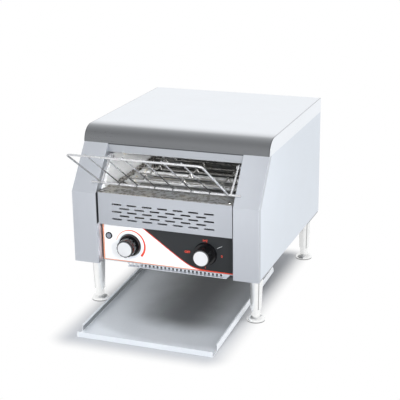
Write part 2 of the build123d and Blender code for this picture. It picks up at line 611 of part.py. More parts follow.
def guard_strip():
    """Slotted strip behind the control panel's lower edge, with a lip that stands out under it."""
    top = PANEL_FOOT_Z
    bevel = GUARD_BEVEL
    outline = Polyline((GUARD_LEFT_X, top), (GUARD_RIGHT_X, top), (GUARD_RIGHT_X, GUARD_FOOT_Z + bevel),
                       (GUARD_RIGHT_X - bevel, GUARD_FOOT_Z), (GUARD_LEFT_X + bevel, GUARD_FOOT_Z),
                       (GUARD_LEFT_X, GUARD_FOOT_Z + bevel), close=True)
    sketch = make_face(outline)
    run = GUARD_RIGHT_X - GUARD_LEFT_X - GUARD_SLOT_START - GUARD_SLOT_END
    for index in range(int(run // GUARD_PITCH) + 1):
        x = GUARD_LEFT_X + GUARD_SLOT_START + index * GUARD_PITCH
        sketch -= Pos(x, GUARD_FOOT_Z + SHEET + GUARD_SLOT / 2) * Rectangle(GUARD_SLOT, GUARD_SLOT)
    strip = front_plate(sketch, PANEL_BACK_Y, PANEL_BACK_Y + SHEET)
    strip += block((GUARD_LEFT_X + bevel, PANEL_Y - GUARD_LIP, GUARD_FOOT_Z),
                   (GUARD_RIGHT_X - bevel, PANEL_BACK_Y, GUARD_FOOT_Z + SHEET))
    strip += block((GUARD_LEFT_X, PANEL_BACK_Y, top - SHEET), (GUARD_RIGHT_X, PANEL_BACK_Y + FLANGE, top))
    return strip


def heat_shield():
    """Folded sheet that closes the control compartment off from the belt and the chute."""
    line = [(SHIELD_REAR_Y, FLOOR_Z), (SHIELD_REAR_Y, SHIELD_TOP_Z), (PANEL_BACK_Y, SHIELD_TOP_Z)]
    return bent_sheet(line, SHEET, -WALL_X, WALL_X)


def upper_reflector():
    """Folded reflector above the upper heating tubes."""
    low = LINTEL_Z + SHEET
    line = [(WALL_REAR_Y - FLANGE, low - FLANGE), (WALL_REAR_Y - FLANGE, low),
            (WALL_REAR_Y - 2 * FLANGE, UPPER_REFLECTOR_Z),
            (LINTEL_REAR_Y + FLANGE, UPPER_REFLECTOR_Z), (LINTEL_REAR_Y, low), (LINTEL_SLOPE_Y + SHEET, low)]
    return bent_sheet(line, SHEET, -WALL_X, WALL_X)


def lower_reflector():
    """Trough-shaped reflector between the two runs of the belt."""
    rise = REFLECTOR_LIP
    front = TUBE_YS[0] - REFLECTOR_MARGIN
    rear = TUBE_YS[-1] + REFLECTOR_MARGIN
    line = [(rear + rise, LOWER_REFLECTOR_Z + rise), (rear, LOWER_REFLECTOR_Z),
            (front, LOWER_REFLECTOR_Z), (front - rise, LOWER_REFLECTOR_Z + rise)]
    return bent_sheet(line, -SHEET, -WALL_X, WALL_X)


def toast_chute():
    """Curved sheet behind and under the belt, which turns the toast back to the front."""
    radius = CHUTE_RADIUS
    turn = 90 - CHUTE_ANGLE
    arcs = []
    for r in (radius, radius + SHEET):
        arcs.append(CenterArc((REAR_SHAFT_Y, SHAFT_Z), r, 0, -turn))
    inner, outer = arcs
    slope = tan(CHUTE_LEAN)
    inner_end = inner @ 1
    outer_end = outer @ 1
    tips = [(CHUTE_END_Y, end.Y - (end.X - CHUTE_END_Y) * slope) for end in (inner_end, outer_end)]
    top_inner = (REAR_SHAFT_Y + radius, CHUTE_TOP_Z)
    top_outer = (REAR_SHAFT_Y + radius + SHEET, CHUTE_TOP_Z)
    edges = [inner, outer, Line(inner_end, tips[0]), Line(tips[0], tips[1]), Line(tips[1], outer_end),
             Line(outer @ 0, top_outer), Line(top_outer, top_inner), Line(top_inner, inner @ 0)]
    face = make_face(Curve() + edges)
    return extrude(Plane.YZ.offset(-WALL_X) * face, 2 * WALL_X, dir=(1, 0, 0))


# ---------------------------------------------------------------- conveyor
def loop_place(distance):
    """A (y, z) point on the chain's pitch line and its outward angle in degrees."""
    run = REAR_SHAFT_Y - FRONT_SHAFT_Y
    turn = pi * CHAIN_PITCH_RADIUS
    distance %= 2 * (run + turn)
    if distance < run:
        return FRONT_SHAFT_Y + distance, SHAFT_Z + CHAIN_PITCH_RADIUS, 90.0
    if distance < run + turn:
        angle = pi / 2 - (distance - run) / CHAIN_PITCH_RADIUS
        centre = REAR_SHAFT_Y
    elif distance < 2 * run + turn:
        return REAR_SHAFT_Y - (distance - run - turn), SHAFT_Z - CHAIN_PITCH_RADIUS, -90.0
    else:
        angle = -pi / 2 - (distance - 2 * run - turn) / CHAIN_PITCH_RADIUS
        centre = FRONT_SHAFT_Y
    reach = CHAIN_PITCH_RADIUS
    return centre + reach * cos(angle), SHAFT_Z + reach * sin(angle), degrees(angle)


def stadium(radius):
    """A face round both shafts, in y and z."""
    run = REAR_SHAFT_Y - FRONT_SHAFT_Y
    middle = (REAR_SHAFT_Y + FRONT_SHAFT_Y) / 2
    return Pos(middle, SHAFT_Z) * SlotOverall(run + 2 * radius, 2 * radius)


def conveyor_chain():
    """Right conveyor chain, joined into one loop: two rows of link plates and the rollers."""
    pins = [loop_place(link * CHAIN_PITCH)[:2] for link in range(CHAIN_LINKS)]
    plates = stadium(CHAIN_PITCH_RADIUS + CHAIN_WAIST) - stadium(CHAIN_PITCH_RADIUS - CHAIN_WAIST)
    plates += [Pos(y, z) * Circle(CHAIN_PLATE_RADIUS) for y, z in pins]
    rollers = Sketch() + [Pos(y, z) * Circle(ROLLER_RADIUS) for y, z in pins]
    inner_x = CHAIN_X - CHAIN_WIDTH / 2
    outer_x = CHAIN_X + CHAIN_WIDTH / 2 - CHAIN_PLATE
    chain = extrude(Plane.YZ.offset(inner_x) * plates, CHAIN_PLATE, dir=(1, 0, 0))
    chain += extrude(Plane.YZ.offset(outer_x) * plates, CHAIN_PLATE, dir=(1, 0, 0))
    chain += extrude(Plane.YZ.offset(inner_x) * rollers, CHAIN_WIDTH, dir=(1, 0, 0))
    return chain


def conveyor_bar():
    """One belt wire across the toaster, with bent-up peaks that carry the bread."""
    end = CHAIN_X - CHAIN_WIDTH / 2
    points = [(-end, 0)]
    for peak in (-BAR_PEAK_PITCH, 0, BAR_PEAK_PITCH):
        points += [(peak - BAR_PEAK_HALF_BASE, 0), (peak, BAR_PEAK), (peak + BAR_PEAK_HALF_BASE, 0)]
    points.append((end, 0))
    bar = Part()
    for (x0, z0), (x1, z1) in zip(points, points[1:]):
        bar += rod((x0, 0, z0), (x1, 0, z1), BAR_RADIUS)
    for x, z in points[1:-1]:
        bar += Pos(x, 0, z) * Sphere(BAR_RADIUS)
    return bar


def conveyor_bars():
    bar = conveyor_bar()
    bars = []
    for index in range(CHAIN_LINKS // LINKS_PER_BAR):
        y, z, angle = loop_place((index + 0.5) * LINKS_PER_BAR * CHAIN_PITCH)
        bars.append(Pos(0, y, z) * Rot(angle - 90, 0, 0) * bar)
    return group(bars)


def sprocket(x, y, z, radius, teeth):
    """A toothed disc and its hub round a shaft, centred on x."""
    thickness = SPROCKET_THICKNESS
    gullet = 0.55                # radius of a notch, as a share of half the tooth pitch
    notch = radius * sin(pi / teeth) * gullet
    outline = Circle(radius) - Circle(SHAFT_RADIUS)
    outline -= [Rot(0, 0, 360 * tooth / teeth) * Pos(radius + notch / 2, 0) * Circle(notch)
                for tooth in range(teeth)]
    face = Plane.YZ.offset(x - thickness / 2) * Pos(y, z) * outline
    hub = rod((x - thickness, y, z), (x + thickness, y, z), SHAFT_RADIUS + BARREL_WALL)
    hub -= rod((x - 2 * thickness, y, z), (x + 2 * thickness, y, z), SHAFT_RADIUS)
    return extrude(face, thickness, dir=(1, 0, 0)) + hub


def collar_x():
    """Inner face of the collar on a shaft's right end."""
    return WALL_X + SHEET + BUSH_PROUD + COLLAR_GAP


def shaft(y, right_end):
    """A shaft with a retaining collar outside each of its bushes."""
    left_end = -(collar_x() + SPROCKET_THICKNESS)
    piece = rod((left_end, y, SHAFT_Z), (right_end, y, SHAFT_Z), SHAFT_RADIUS)
    for x in (left_end, collar_x()):
        piece += rod((x, y, SHAFT_Z), (x + SPROCKET_THICKNESS, y, SHAFT_Z), SHAFT_RADIUS + COLLAR_WALL)
    return piece


def drive_shaft():
    return shaft(FRONT_SHAFT_Y, DRIVE_X + 2 * SPROCKET_THICKNESS)


def idler_shaft():
    return shaft(REAR_SHAFT_Y, collar_x() + SPROCKET_THICKNESS)


def conveyor_sprockets(y):
    """The pair of sprockets that carry the conveyor chains."""
    return [sprocket(x, y, SHAFT_Z, SPROCKET_RADIUS, SPROCKET_TEETH) for x in (-CHAIN_X, CHAIN_X)]


def drive_sprockets():
    radius = DRIVE_SPROCKET_RADIUS - DRIVE_CHAIN_HALF_HEIGHT - SPROCKET_GAP
    driven = sprocket(DRIVE_X, FRONT_SHAFT_Y, SHAFT_Z, radius, DRIVEN_TEETH)
    return group(conveyor_sprockets(FRONT_SHAFT_Y) + [driven])


def idler_sprockets():
    return group(conveyor_sprockets(REAR_SHAFT_Y))


def shaft_bushes():
    """Flanged bushes in both walls, two for each shaft."""
    bushes = []
    outside = WALL_X + SHEET
    barrel = SHAFT_RADIUS + BARREL_WALL
    for y, z in shaft_places():
        bush = rod((WALL_X, y, z), (outside + BUSH_PROUD, y, z), barrel)
        bush += rod((outside, y, z), (outside + BUSH_FLANGE_THICKNESS, y, z), barrel + BUSH_FLANGE)
        bush -= rod((0, y, z), (HALF, y, z), SHAFT_RADIUS + SHAFT_CLEARANCE)
        bushes.extend(both_sides(bush))
    return group(bushes)


def gear_motor():
    """Motor and gearbox behind the control panel, fixed to the right wall."""
    box_x = WALL_X - GEARBOX_LENGTH
    nose_x = WALL_X + SHEET + BUSH_PROUD
    gearbox = block((box_x, MOTOR_Y - MOTOR_RADIUS, MOTOR_Z - MOTOR_RADIUS),
                    (WALL_X, MOTOR_Y + MOTOR_RADIUS, MOTOR_Z + MOTOR_RADIUS))
    motor = rod((box_x - MOTOR_LENGTH, MOTOR_Y, MOTOR_Z), (box_x, MOTOR_Y, MOTOR_Z),
                MOTOR_RADIUS - MOTOR_CAN_STEP)
    nose = rod((WALL_X, MOTOR_Y, MOTOR_Z), (nose_x, MOTOR_Y, MOTOR_Z), SHAFT_RADIUS + BARREL_WALL)
    bore = rod((WALL_X - OUTPUT_DEPTH, MOTOR_Y, MOTOR_Z), (HALF, MOTOR_Y, MOTOR_Z),
               SHAFT_RADIUS + SHAFT_CLEARANCE)
    return gearbox + motor + nose - bore


def motor_sprocket():
    """Output shaft of the gearbox with its small sprocket."""
    radius = MOTOR_SPROCKET_RADIUS - DRIVE_CHAIN_HALF_HEIGHT - SPROCKET_GAP
    output = rod((WALL_X - OUTPUT_DEPTH + SHEET, MOTOR_Y, MOTOR_Z),
                 (DRIVE_X + 2 * SPROCKET_THICKNESS, MOTOR_Y, MOTOR_Z), SHAFT_RADIUS)
    return output + sprocket(DRIVE_X, MOTOR_Y, MOTOR_Z, radius, MOTOR_TEETH)


def belt_face(reach):
    """A face round the two drive sprockets, in y and z, out to a reach past their pitch radii."""
    small = Vector(MOTOR_Y, MOTOR_Z)
    large = Vector(FRONT_SHAFT_Y, SHAFT_Z)
    small_radius = MOTOR_SPROCKET_RADIUS + reach
    large_radius = DRIVE_SPROCKET_RADIUS + reach
    run = large - small
    lean = degrees(acos((small_radius - large_radius) / run.length))
    heading = degrees(atan2(run.Y, run.X))
    corners = []
    for centre, radius, side in ((small, small_radius, 1), (large, large_radius, 1),
                                 (large, large_radius, -1), (small, small_radius, -1)):
        angle = radians(heading + side * lean)
        corners.append((centre.X + radius * cos(angle), centre.Y + radius * sin(angle)))
    face = make_face(Polyline(*corners, close=True))
    face += Pos(small.X, small.Y) * Circle(small_radius)
    return face + Pos(large.X, large.Y) * Circle(large_radius)


def drive_chain():
    """Short chain from the motor sprocket to the drive shaft, as one closed band."""
    band = belt_face(DRIVE_CHAIN_HALF_HEIGHT) - belt_face(-DRIVE_CHAIN_HALF_HEIGHT)
    face = Plane.YZ.offset(DRIVE_X - SPROCKET_THICKNESS) * band
    return extrude(face, 2 * SPROCKET_THICKNESS, dir=(1, 0, 0))


# ---------------------------------------------------------------- heating
def heating_tubes(z):
    """A row of quartz tubes across the chamber."""
    end = WALL_X + TUBE_REACH
    return group([rod((-end, y, z), (end, y, z), TUBE_RADIUS) for y in TUBE_YS])


def tube_end_caps():
    """Ceramic caps that hold the tubes' ends in the walls."""
    caps = []
    start = WALL_X - CAP_PROUD
    for y, z in tube_places():
        cap = rod((start, y, z), (start + CAP_LENGTH, y, z), CAP_RADIUS)
        cap -= rod((start, y, z), (WALL_X + TUBE_REACH, y, z), TUBE_RADIUS)
        caps.extend(both_sides(cap))
    return group(caps)


# ---------------------------------------------------------------- controls
def knob(place):
    """A skirted, fluted knob, hollow over the spindle's nut."""
    x, z = place
    axis = Plane(origin=(x, KNOB_BACK_Y, z), x_dir=(1, 0, 0), z_dir=(0, -1, 0))
    skirt = axis * extrude(Circle(SKIRT_RADIUS), SKIRT_DEPTH, taper=SKIRT_TAPER)
    outline = Circle(GRIP_RADIUS)
    outline -= [Rot(0, 0, 360 * (flute + 0.5) / FLUTES) * Pos(GRIP_RADIUS + FLUTE_RADIUS / 2, 0)
                * Circle(FLUTE_RADIUS) for flute in range(FLUTES)]
    grip = axis * extrude(outline, SKIRT_DEPTH + GRIP_DEPTH, taper=GRIP_TAPER)
    hollow = rod((x, KNOB_BACK_Y, z), (x, KNOB_BACK_Y - KNOB_POCKET, z), BUSH_RADIUS + 2 * NUT_HEIGHT)
    bore = rod((x, KNOB_BACK_Y, z), (x, KNOB_FRONT_Y + KNOB_WALL, z), SPINDLE_RADIUS)
    return skirt + grip - hollow - bore


def knob_cap(place):
    """Silver cap on the knob's end, with a small pointer at its lower edge."""
    x, z = place
    front = KNOB_FRONT_Y - KNOB_CAP_DEPTH
    cap = rod((x, KNOB_FRONT_Y, z), (x, front, z), KNOB_CAP_RADIUS)
    rim = [edge for edge in cap.edges() if abs(edge.center().Y - front) < 0.01]
    cap = fillet(rim, KNOB_CAP_DEPTH / 2)
    tip_z = z - GRIP_RADIUS + POINTER_HALF_WIDTH / 2
    base_z = z - KNOB_CAP_RADIUS + POINTER_HALF_WIDTH
    point = make_face(Polyline((x - POINTER_HALF_WIDTH, base_z), (x, tip_z), (x + POINTER_HALF_WIDTH, base_z),
                               close=True))
    return cap + front_plate(point, front + KNOB_CAP_DEPTH / 2, KNOB_FRONT_Y)


def spindle(place):
    x, z = place
    return rod((x, KNOB_FRONT_Y + KNOB_WALL, z), (x, PANEL_BACK_Y + SPINDLE_DEPTH, z), SPINDLE_RADIUS)


def spindle_bush(place):
    """The threaded bush of a control, with its running bore cut later."""
    x, z = place
    return rod((x, PANEL_BACK_Y, z), (x, KNOB_BACK_Y - BUSH_REACH, z), BUSH_RADIUS)


def spindle_bore(place):
    x, z = place
    return rod((x, KNOB_BACK_Y - KNOB_POCKET, z), (x, PANEL_BACK_Y + SPINDLE_DEPTH + SPINDLE_END_GAP, z),
               SPINDLE_RADIUS + SHAFT_CLEARANCE)


def speed_controller():
    """Speed regulator: a small closed housing behind the panel."""
    x, z = SPEED_KNOB
    half_width, half_height, depth = 22.0, 19.0, 23.0
    strip_half, strip_depth = 14.0, 4.0
    rear = PANEL_BACK_Y + depth
    housing = block((x - half_width, PANEL_BACK_Y, z - half_height), (x + half_width, rear, z + half_height))
    terminals = block((x - strip_half, rear, z - 4 * strip_depth),
                      (x + strip_half, rear + strip_depth, z - 2 * strip_depth))
    return housing + terminals + spindle_bush(SPEED_KNOB) - spindle_bore(SPEED_KNOB)


def selector_switch():
    """Rotary switch with its ring of terminals."""
    x, z = SELECTOR_KNOB
    radius, depth, count = 18.0, 18.0, 6
    ring, tab_half, tab_length = 13.0, 2.5, 6.0
    rear = PANEL_BACK_Y + depth
    body = rod((x, PANEL_BACK_Y, z), (x, rear, z), radius)
    for index in range(count):
        angle = 2 * pi * index / count
        px = x + ring * cos(angle)
        pz = z + ring * sin(angle)
        body += block((px - tab_half, rear, pz - SHEET / 2),
                      (px + tab_half, rear + tab_length, pz + SHEET / 2))
    return body + spindle_bush(SELECTOR_KNOB) - spindle_bore(SELECTOR_KNOB)


def spindle_nuts():
    """Hexagon nuts that clamp both controls to the panel."""
    nuts = []
    for x, z in (SPEED_KNOB, SELECTOR_KNOB):
        sketch = Pos(x, z) * (RegularPolygon(BUSH_RADIUS + NUT_WALL, 6) - Circle(BUSH_RADIUS))
        nuts.append(front_plate(sketch, FILM_Y - NUT_HEIGHT, FILM_Y))
    return group(nuts)


def lamp_bezel():
    """Dark ring of the indicator lamp, with a barrel through the panel."""
    x, z = LAMP
    ring = rod((x, FILM_Y - BEZEL_DEPTH, z), (x, FILM_Y, z), LAMP_RADIUS)
    barrel = rod((x, FILM_Y, z), (x, PANEL_BACK_Y + LAMP_BARREL_DEPTH, z), LENS_RADIUS + LAMP_BARREL_WALL)
    return ring + barrel - rod((x, FILM_Y - LENS_DEPTH, z), (x, PANEL_BACK_Y + LENS_REAR, z), LENS_RADIUS)


def lamp_lens():
    """Domed lens of the indicator lamp."""
    x, z = LAMP
    front = FILM_Y - LENS_DEPTH
    lens = rod((x, front, z), (x, PANEL_BACK_Y + LENS_REAR, z), LENS_RADIUS)
    rim = [edge for edge in lens.edges() if abs(edge.center().Y - front) < 0.01]
    return fillet(rim, LENS_DEPTH - BEZEL_DEPTH)


# ---------------------------------------------------------------- feet and legs
def legs():
    """The four legs by name: tapered tubes with a threaded plug at the foot."""
    top = PANEL_FOOT_Z - BRACKET_SHEET
    height = top - LEG_FOOT_Z
    plug = LEG_PLUG
    outline = Polyline((0, 0), (LEG_FOOT_RADIUS, 0), (LEG_TOP_RADIUS, height), (0, height), close=True)
    low_radius = LEG_FOOT_RADIUS + (LEG_TOP_RADIUS - LEG_FOOT_RADIUS) * plug / height - LEG_WALL
    hollow = Polyline((0, plug), (low_radius, plug), (LEG_TOP_RADIUS - LEG_WALL, height - LEG_WALL),
                      (0, height - LEG_WALL), close=True)
    tube = revolve(Plane.XZ * (make_face(outline) - make_face(hollow)), Axis.Z)
    tube -= Cylinder(STEM_RADIUS + SHAFT_CLEARANCE, plug, align=FROM_START)
    return {name: Pos(x, y, LEG_FOOT_Z) * tube for name, x, y in corners()}


def corners():
    """Name, x and y of each corner that has a leg."""
    places = []
    for depth, y in zip(("front", "rear"), LEG_YS):
        for side, x in (("left", -LEG_X), ("right", LEG_X)):
            places.append((f"{depth}_{side}", x, y))
    return places


def feet():
    """The four adjustable feet by name, each with its threaded stem."""
    neck = (NECK_RADIUS, FOOT_EDGE + FOOT_FLARE)
    lines = [Line((0, 0), (FOOT_RADIUS, 0)), Line((FOOT_RADIUS, 0), (FOOT_RADIUS, FOOT_EDGE)),
             RadiusArc(neck, (FOOT_RADIUS, FOOT_EDGE), FOOT_FLARE_RADIUS),
             Line(neck, (NECK_RADIUS, LEG_FOOT_Z)),
             Line((NECK_RADIUS, LEG_FOOT_Z), (STEM_RADIUS, LEG_FOOT_Z)),
             Line((STEM_RADIUS, LEG_FOOT_Z), (STEM_RADIUS, LEG_FOOT_Z + STEM_LENGTH)),
             Line((STEM_RADIUS, LEG_FOOT_Z + STEM_LENGTH), (0, LEG_FOOT_Z + STEM_LENGTH)),
             Line((0, LEG_FOOT_Z + STEM_LENGTH), (0, 0))]
    foot = revolve(Plane.XZ * make_face(Curve() + lines), Axis.Z)
    return {name: Pos(x, y, 0) * foot for name, x, y in corners()}


def leg_brackets():
    """Inverted channels that carry the legs under the case."""
    outer_x = HALF - SHEET
    inner_x = 2 * LEG_X - outer_x
    top = PANEL_FOOT_Z
    brackets = []
    for y0 in bracket_starts():
        y1 = y0 + BRACKET_LENGTH
        channel = block((inner_x, y0, BRACKET_FOOT_Z), (outer_x, y1, top))
        channel -= block((inner_x + BRACKET_SHEET, y0, BRACKET_FOOT_Z),
                         (outer_x - BRACKET_SHEET, y1, top - BRACKET_SHEET))
        brackets.extend(both_sides(drill_bracket_holes(channel)))
    return group(brackets)


def bracket_screw_places():
    """x and y of the screws that hold the right leg brackets."""
    x = HALF - SHEET - FLANGE / 2
    return [(x, y) for y0 in bracket_starts() for y in (y0 + FLANGE / 2, y0 + BRACKET_LENGTH - FLANGE / 2)]


def bracket_starts():
    """Front ends of the front and rear leg brackets."""
    return COLUMN_RETURN, BODY_DEPTH - SHEET - BRACKET_LENGTH


def drill_bracket_holes(piece):
    """Clear the bracket screws' holes on the right, through whatever sheet is there."""
    for x, y in bracket_screw_places():
        piece -= rod((x, y, BRACKET_FOOT_Z), (x, y, FLOOR_Z + SHEET), SCREW_RADIUS)
    return piece


# ---------------------------------------------------------------- tray and rack
def tray_floor(y):
    """Height of the tray's underside at y."""
    return (y - TRAY_FRONT_Y) * TRAY_RISE


def toast_tray():
    """Loose tray under the outlet: a pan that rises to the rear, with a fold it stands on."""
    left = TRAY_SHIFT_X - TRAY_HALF_WIDTH
    right = TRAY_SHIFT_X + TRAY_HALF_WIDTH
    rear_z = tray_floor(TRAY_REAR_Y)
    line = [(TRAY_FRONT_Y, TRAY_FRONT_LIP), (TRAY_FRONT_Y, 0), (TRAY_REAR_Y, rear_z)]
    tray = bent_sheet(line, -TRAY_SHEET, left, right)
    fold = TRAY_REAR_Y - TRAY_SHEET
    tray += side_plate([(fold, 0), (TRAY_REAR_Y, 0), (TRAY_REAR_Y, rear_z), (fold, rear_z)],
                       left + TRAY_FOLD_INSET, right - TRAY_FOLD_INSET)
    start = TRAY_FRONT_Y + TRAY_SIDE_START
    corner = TRAY_REAR_Y - TRAY_SIDE_CORNER
    front_top = (start, tray_floor(start) + TRAY_SIDE)
    rear_top = (corner, tray_floor(corner) + TRAY_SIDE)
    side = [(start, tray_floor(start)), front_top, rear_top,
            (TRAY_REAR_Y, rear_z + TRAY_SIDE - TRAY_SIDE_CORNER), (TRAY_REAR_Y, rear_z)]
    hem = [(start, front_top[1] - TRAY_HEM), front_top, rear_top, (corner, rear_top[1] - TRAY_HEM)]
    for x0, x1, hem0, hem1 in ((left, left + TRAY_SHEET, left, left + TRAY_HEM),
                               (right - TRAY_SHEET, right, right - TRAY_HEM, right)):
        tray += side_plate(side, x0, x1)
        tray += side_plate(hem, hem0, hem1)
    return tray


def rack_rod_place():
    """y and z of the long rod, which rests on the sloping faces of the columns."""
    reach = RACK_ROD_RADIUS + REST_GAP
    along = (RACK_ROD_Z - KNEE_Z - reach * cos(SLOPE)) / sin(SLOPE)
    return along * cos(SLOPE) - reach * sin(SLOPE), RACK_ROD_Z


def rack_rail_places():
    """Middles of the rack's lower bar, welded to the long rod, and of its front bar."""
    rod_y, rod_z = rack_rod_place()
    reach = RACK_ROD_RADIUS + RACK_FRAME_RADIUS - WELD
    low = Vector(0, rod_y - reach * cos(RACK_WELD_ANGLE), rod_z + reach * sin(RACK_WELD_ANGLE))
    lean = radians(RACK_ANGLE)
    return low, low + Vector(0, -RACK_LENGTH * cos(lean), RACK_LENGTH * sin(lean))


def feed_rack():
    """Welded wire rack that the bread lies on, with two arms that hook onto the pins."""
    rod_y, rod_z = rack_rod_place()
    low, high = rack_rail_places()
    along = (high - low).normalized()
    length = (high - low).length
    plane = Plane(origin=low, x_dir=(-1, 0, 0), z_dir=along.cross(Vector(1, 0, 0)))
    frame_path = plane * Pos(0, length / 2) * RectangleRounded(2 * RACK_HALF_WIDTH, length, RACK_CORNER)
    rail = frame_path.wire()
    rack = sweep(Plane(origin=rail @ 0, z_dir=rail % 0) * Circle(RACK_FRAME_RADIUS), rail)
    lift = RACK_FRAME_RADIUS + RACK_WIRE_RADIUS - WELD
    gap = 2 * RACK_HALF_WIDTH / (RACK_WIRES + 1)
    for index in range(RACK_WIRES):
        x = -RACK_HALF_WIDTH + (index + 1) * gap
        start = plane.from_local_coords(Vector(x, -RACK_FRAME_RADIUS, lift))
        end = plane.from_local_coords(Vector(x, length + RACK_TIP, lift))
        rack += rod(start, end, RACK_WIRE_RADIUS)
    rack += rod((-RACK_ROD_HALF_LENGTH, rod_y, rod_z), (RACK_ROD_HALF_LENGTH, rod_y, rod_z), RACK_ROD_RADIUS)
    arm = rack_arm()
    for side in both_sides(arm):
        rack += side
    return rack


def rack_arm():
    """Right arm of the rack: a straight wire that ends in a hook over the pin."""
    rod_y, rod_z = rack_rod_place()
    pin_y, pin_z = RACK_PIN
    radius = RACK_PIN_RADIUS + RACK_HOOK_CLEARANCE + RACK_FRAME_RADIUS
    reach = sqrt((rod_y - pin_y) ** 2 + (rod_z - pin_z) ** 2)
    touch = atan2(rod_z - pin_z, rod_y - pin_y) - acos(radius / reach)
    plane = Plane(origin=(RACK_ARM_X, 0, 0), x_dir=(0, 1, 0), z_dir=(1, 0, 0))
    contact = (pin_y + radius * cos(touch), pin_z + radius * sin(touch))
    straight = Line((rod_y, rod_z), contact)
    hook = CenterArc((pin_y, pin_z), radius, degrees(touch), -RACK_HOOK_TURN)
    path = plane * (Curve() + [straight, hook])
    rail = path.wires()[0]
    start = Plane(origin=plane.from_local_coords(Vector(rod_y, rod_z, 0)),
                  z_dir=plane.from_local_coords(Vector(*contact, 0)) - plane.from_local_coords(
                      Vector(rod_y, rod_z, 0)))
    return sweep(start * Circle(RACK_FRAME_RADIUS), rail)


def rack_pins():
    """Headed pins on the columns' inner folds."""
    y, z = RACK_PIN
    end = RACK_ARM_X - RACK_FRAME_RADIUS - RACK_PIN_GAP
    pin = rod((COLUMN_X, y, z), (end, y, z), RACK_PIN_RADIUS)
    pin += rod((end, y, z), (end - RACK_PIN_HEAD, y, z), RACK_PIN_RADIUS + RACK_PIN_HEAD)
    return group(both_sides(pin))


# ---------------------------------------------------------------- electrics and screws
def terminal_block():
    """Mains terminal block on the base plate, between the left wall's fold and the side panel."""
    half_width, height, poles, pitch = 14.0, 16.0, 4, 8.0
    x = -(WALL_X + SHEET + FLANGE + SHEET + half_width)
    y0 = BODY_DEPTH - 2 * FLANGE - (poles + 1) * pitch - GLAND_TAIL
    top = FLOOR_Z + height
    piece = block((x - half_width, y0, FLOOR_Z), (x + half_width, y0 + (poles + 1) * pitch, top))
    for index in range(poles):
        y = y0 + pitch * (index + 1)
        piece -= rod((x, y, FLOOR_Z + height / 2), (x, y, top + SHEET), SCREW_RADIUS + SHEET / 2)
    return piece


def cable_gland():
    """Round cable gland in the rear panel, with a bore for the mains lead."""
    radius = GLAND_BORE + GLAND_WALL
    inside = BODY_DEPTH - SHEET
    hexagon = Pos(GLAND_X, GLAND_Z) * RegularPolygon(radius + GLAND_HEX, 6)
    gland = rod((GLAND_X, inside - GLAND_TAIL, GLAND_Z), (GLAND_X, Y_REAR, GLAND_Z), radius)
    gland += front_plate(hexagon, BODY_DEPTH, BODY_DEPTH + GLAND_COLLAR)
    gland += front_plate(hexagon, inside - GLAND_NUT, inside)
    return gland - rod((GLAND_X, inside - 2 * GLAND_TAIL, GLAND_Z), (GLAND_X, Y_REAR + SHEET, GLAND_Z),
                       GLAND_BORE)


def screw(place, direction):
    """A domed screw: its head sits on the place and its shank goes against the direction."""
    axis = Plane(origin=place, z_dir=direction)
    head = Cylinder(SCREW_HEAD_RADIUS, SCREW_HEAD_HEIGHT, align=FROM_START)
    rim = head.edges().sort_by(Axis.Z)[-1]
    head = fillet(rim, SCREW_HEAD_HEIGHT - BEZEL_DEPTH / 2)
    arm, width, depth = 3.4, 0.7, 1.4
    slot = Pos(0, 0, SCREW_HEAD_HEIGHT) * (Box(arm, width, depth) + Box(width, arm, depth))
    shank = Pos(0, 0, -SCREW_LENGTH) * Cylinder(SCREW_RADIUS, SCREW_LENGTH, align=FROM_START)
    return axis * (head - slot + shank)


def shelf_screws():
    return group([screw((x, y, VENT_TOP_Z + SHEET), (0, 0, 1)) for x, y in shelf_screw_places()])


def case_screws():
    """Screws in the lid's rear fold, the rear panel and the leg brackets."""
    screws = [screw((x, BODY_DEPTH + SHEET, z), (0, 1, 0)) for x, z in rear_screw_places(True)]
    screws += [screw((x, BODY_DEPTH, z), (0, 1, 0)) for x, z in rear_screw_places(False)]
    under = PANEL_FOOT_Z - BRACKET_SHEET
    for x, y in bracket_screw_places():
        screws.extend(both_sides(screw((x, y, under), (0, 0, -1))))
    return group(screws)


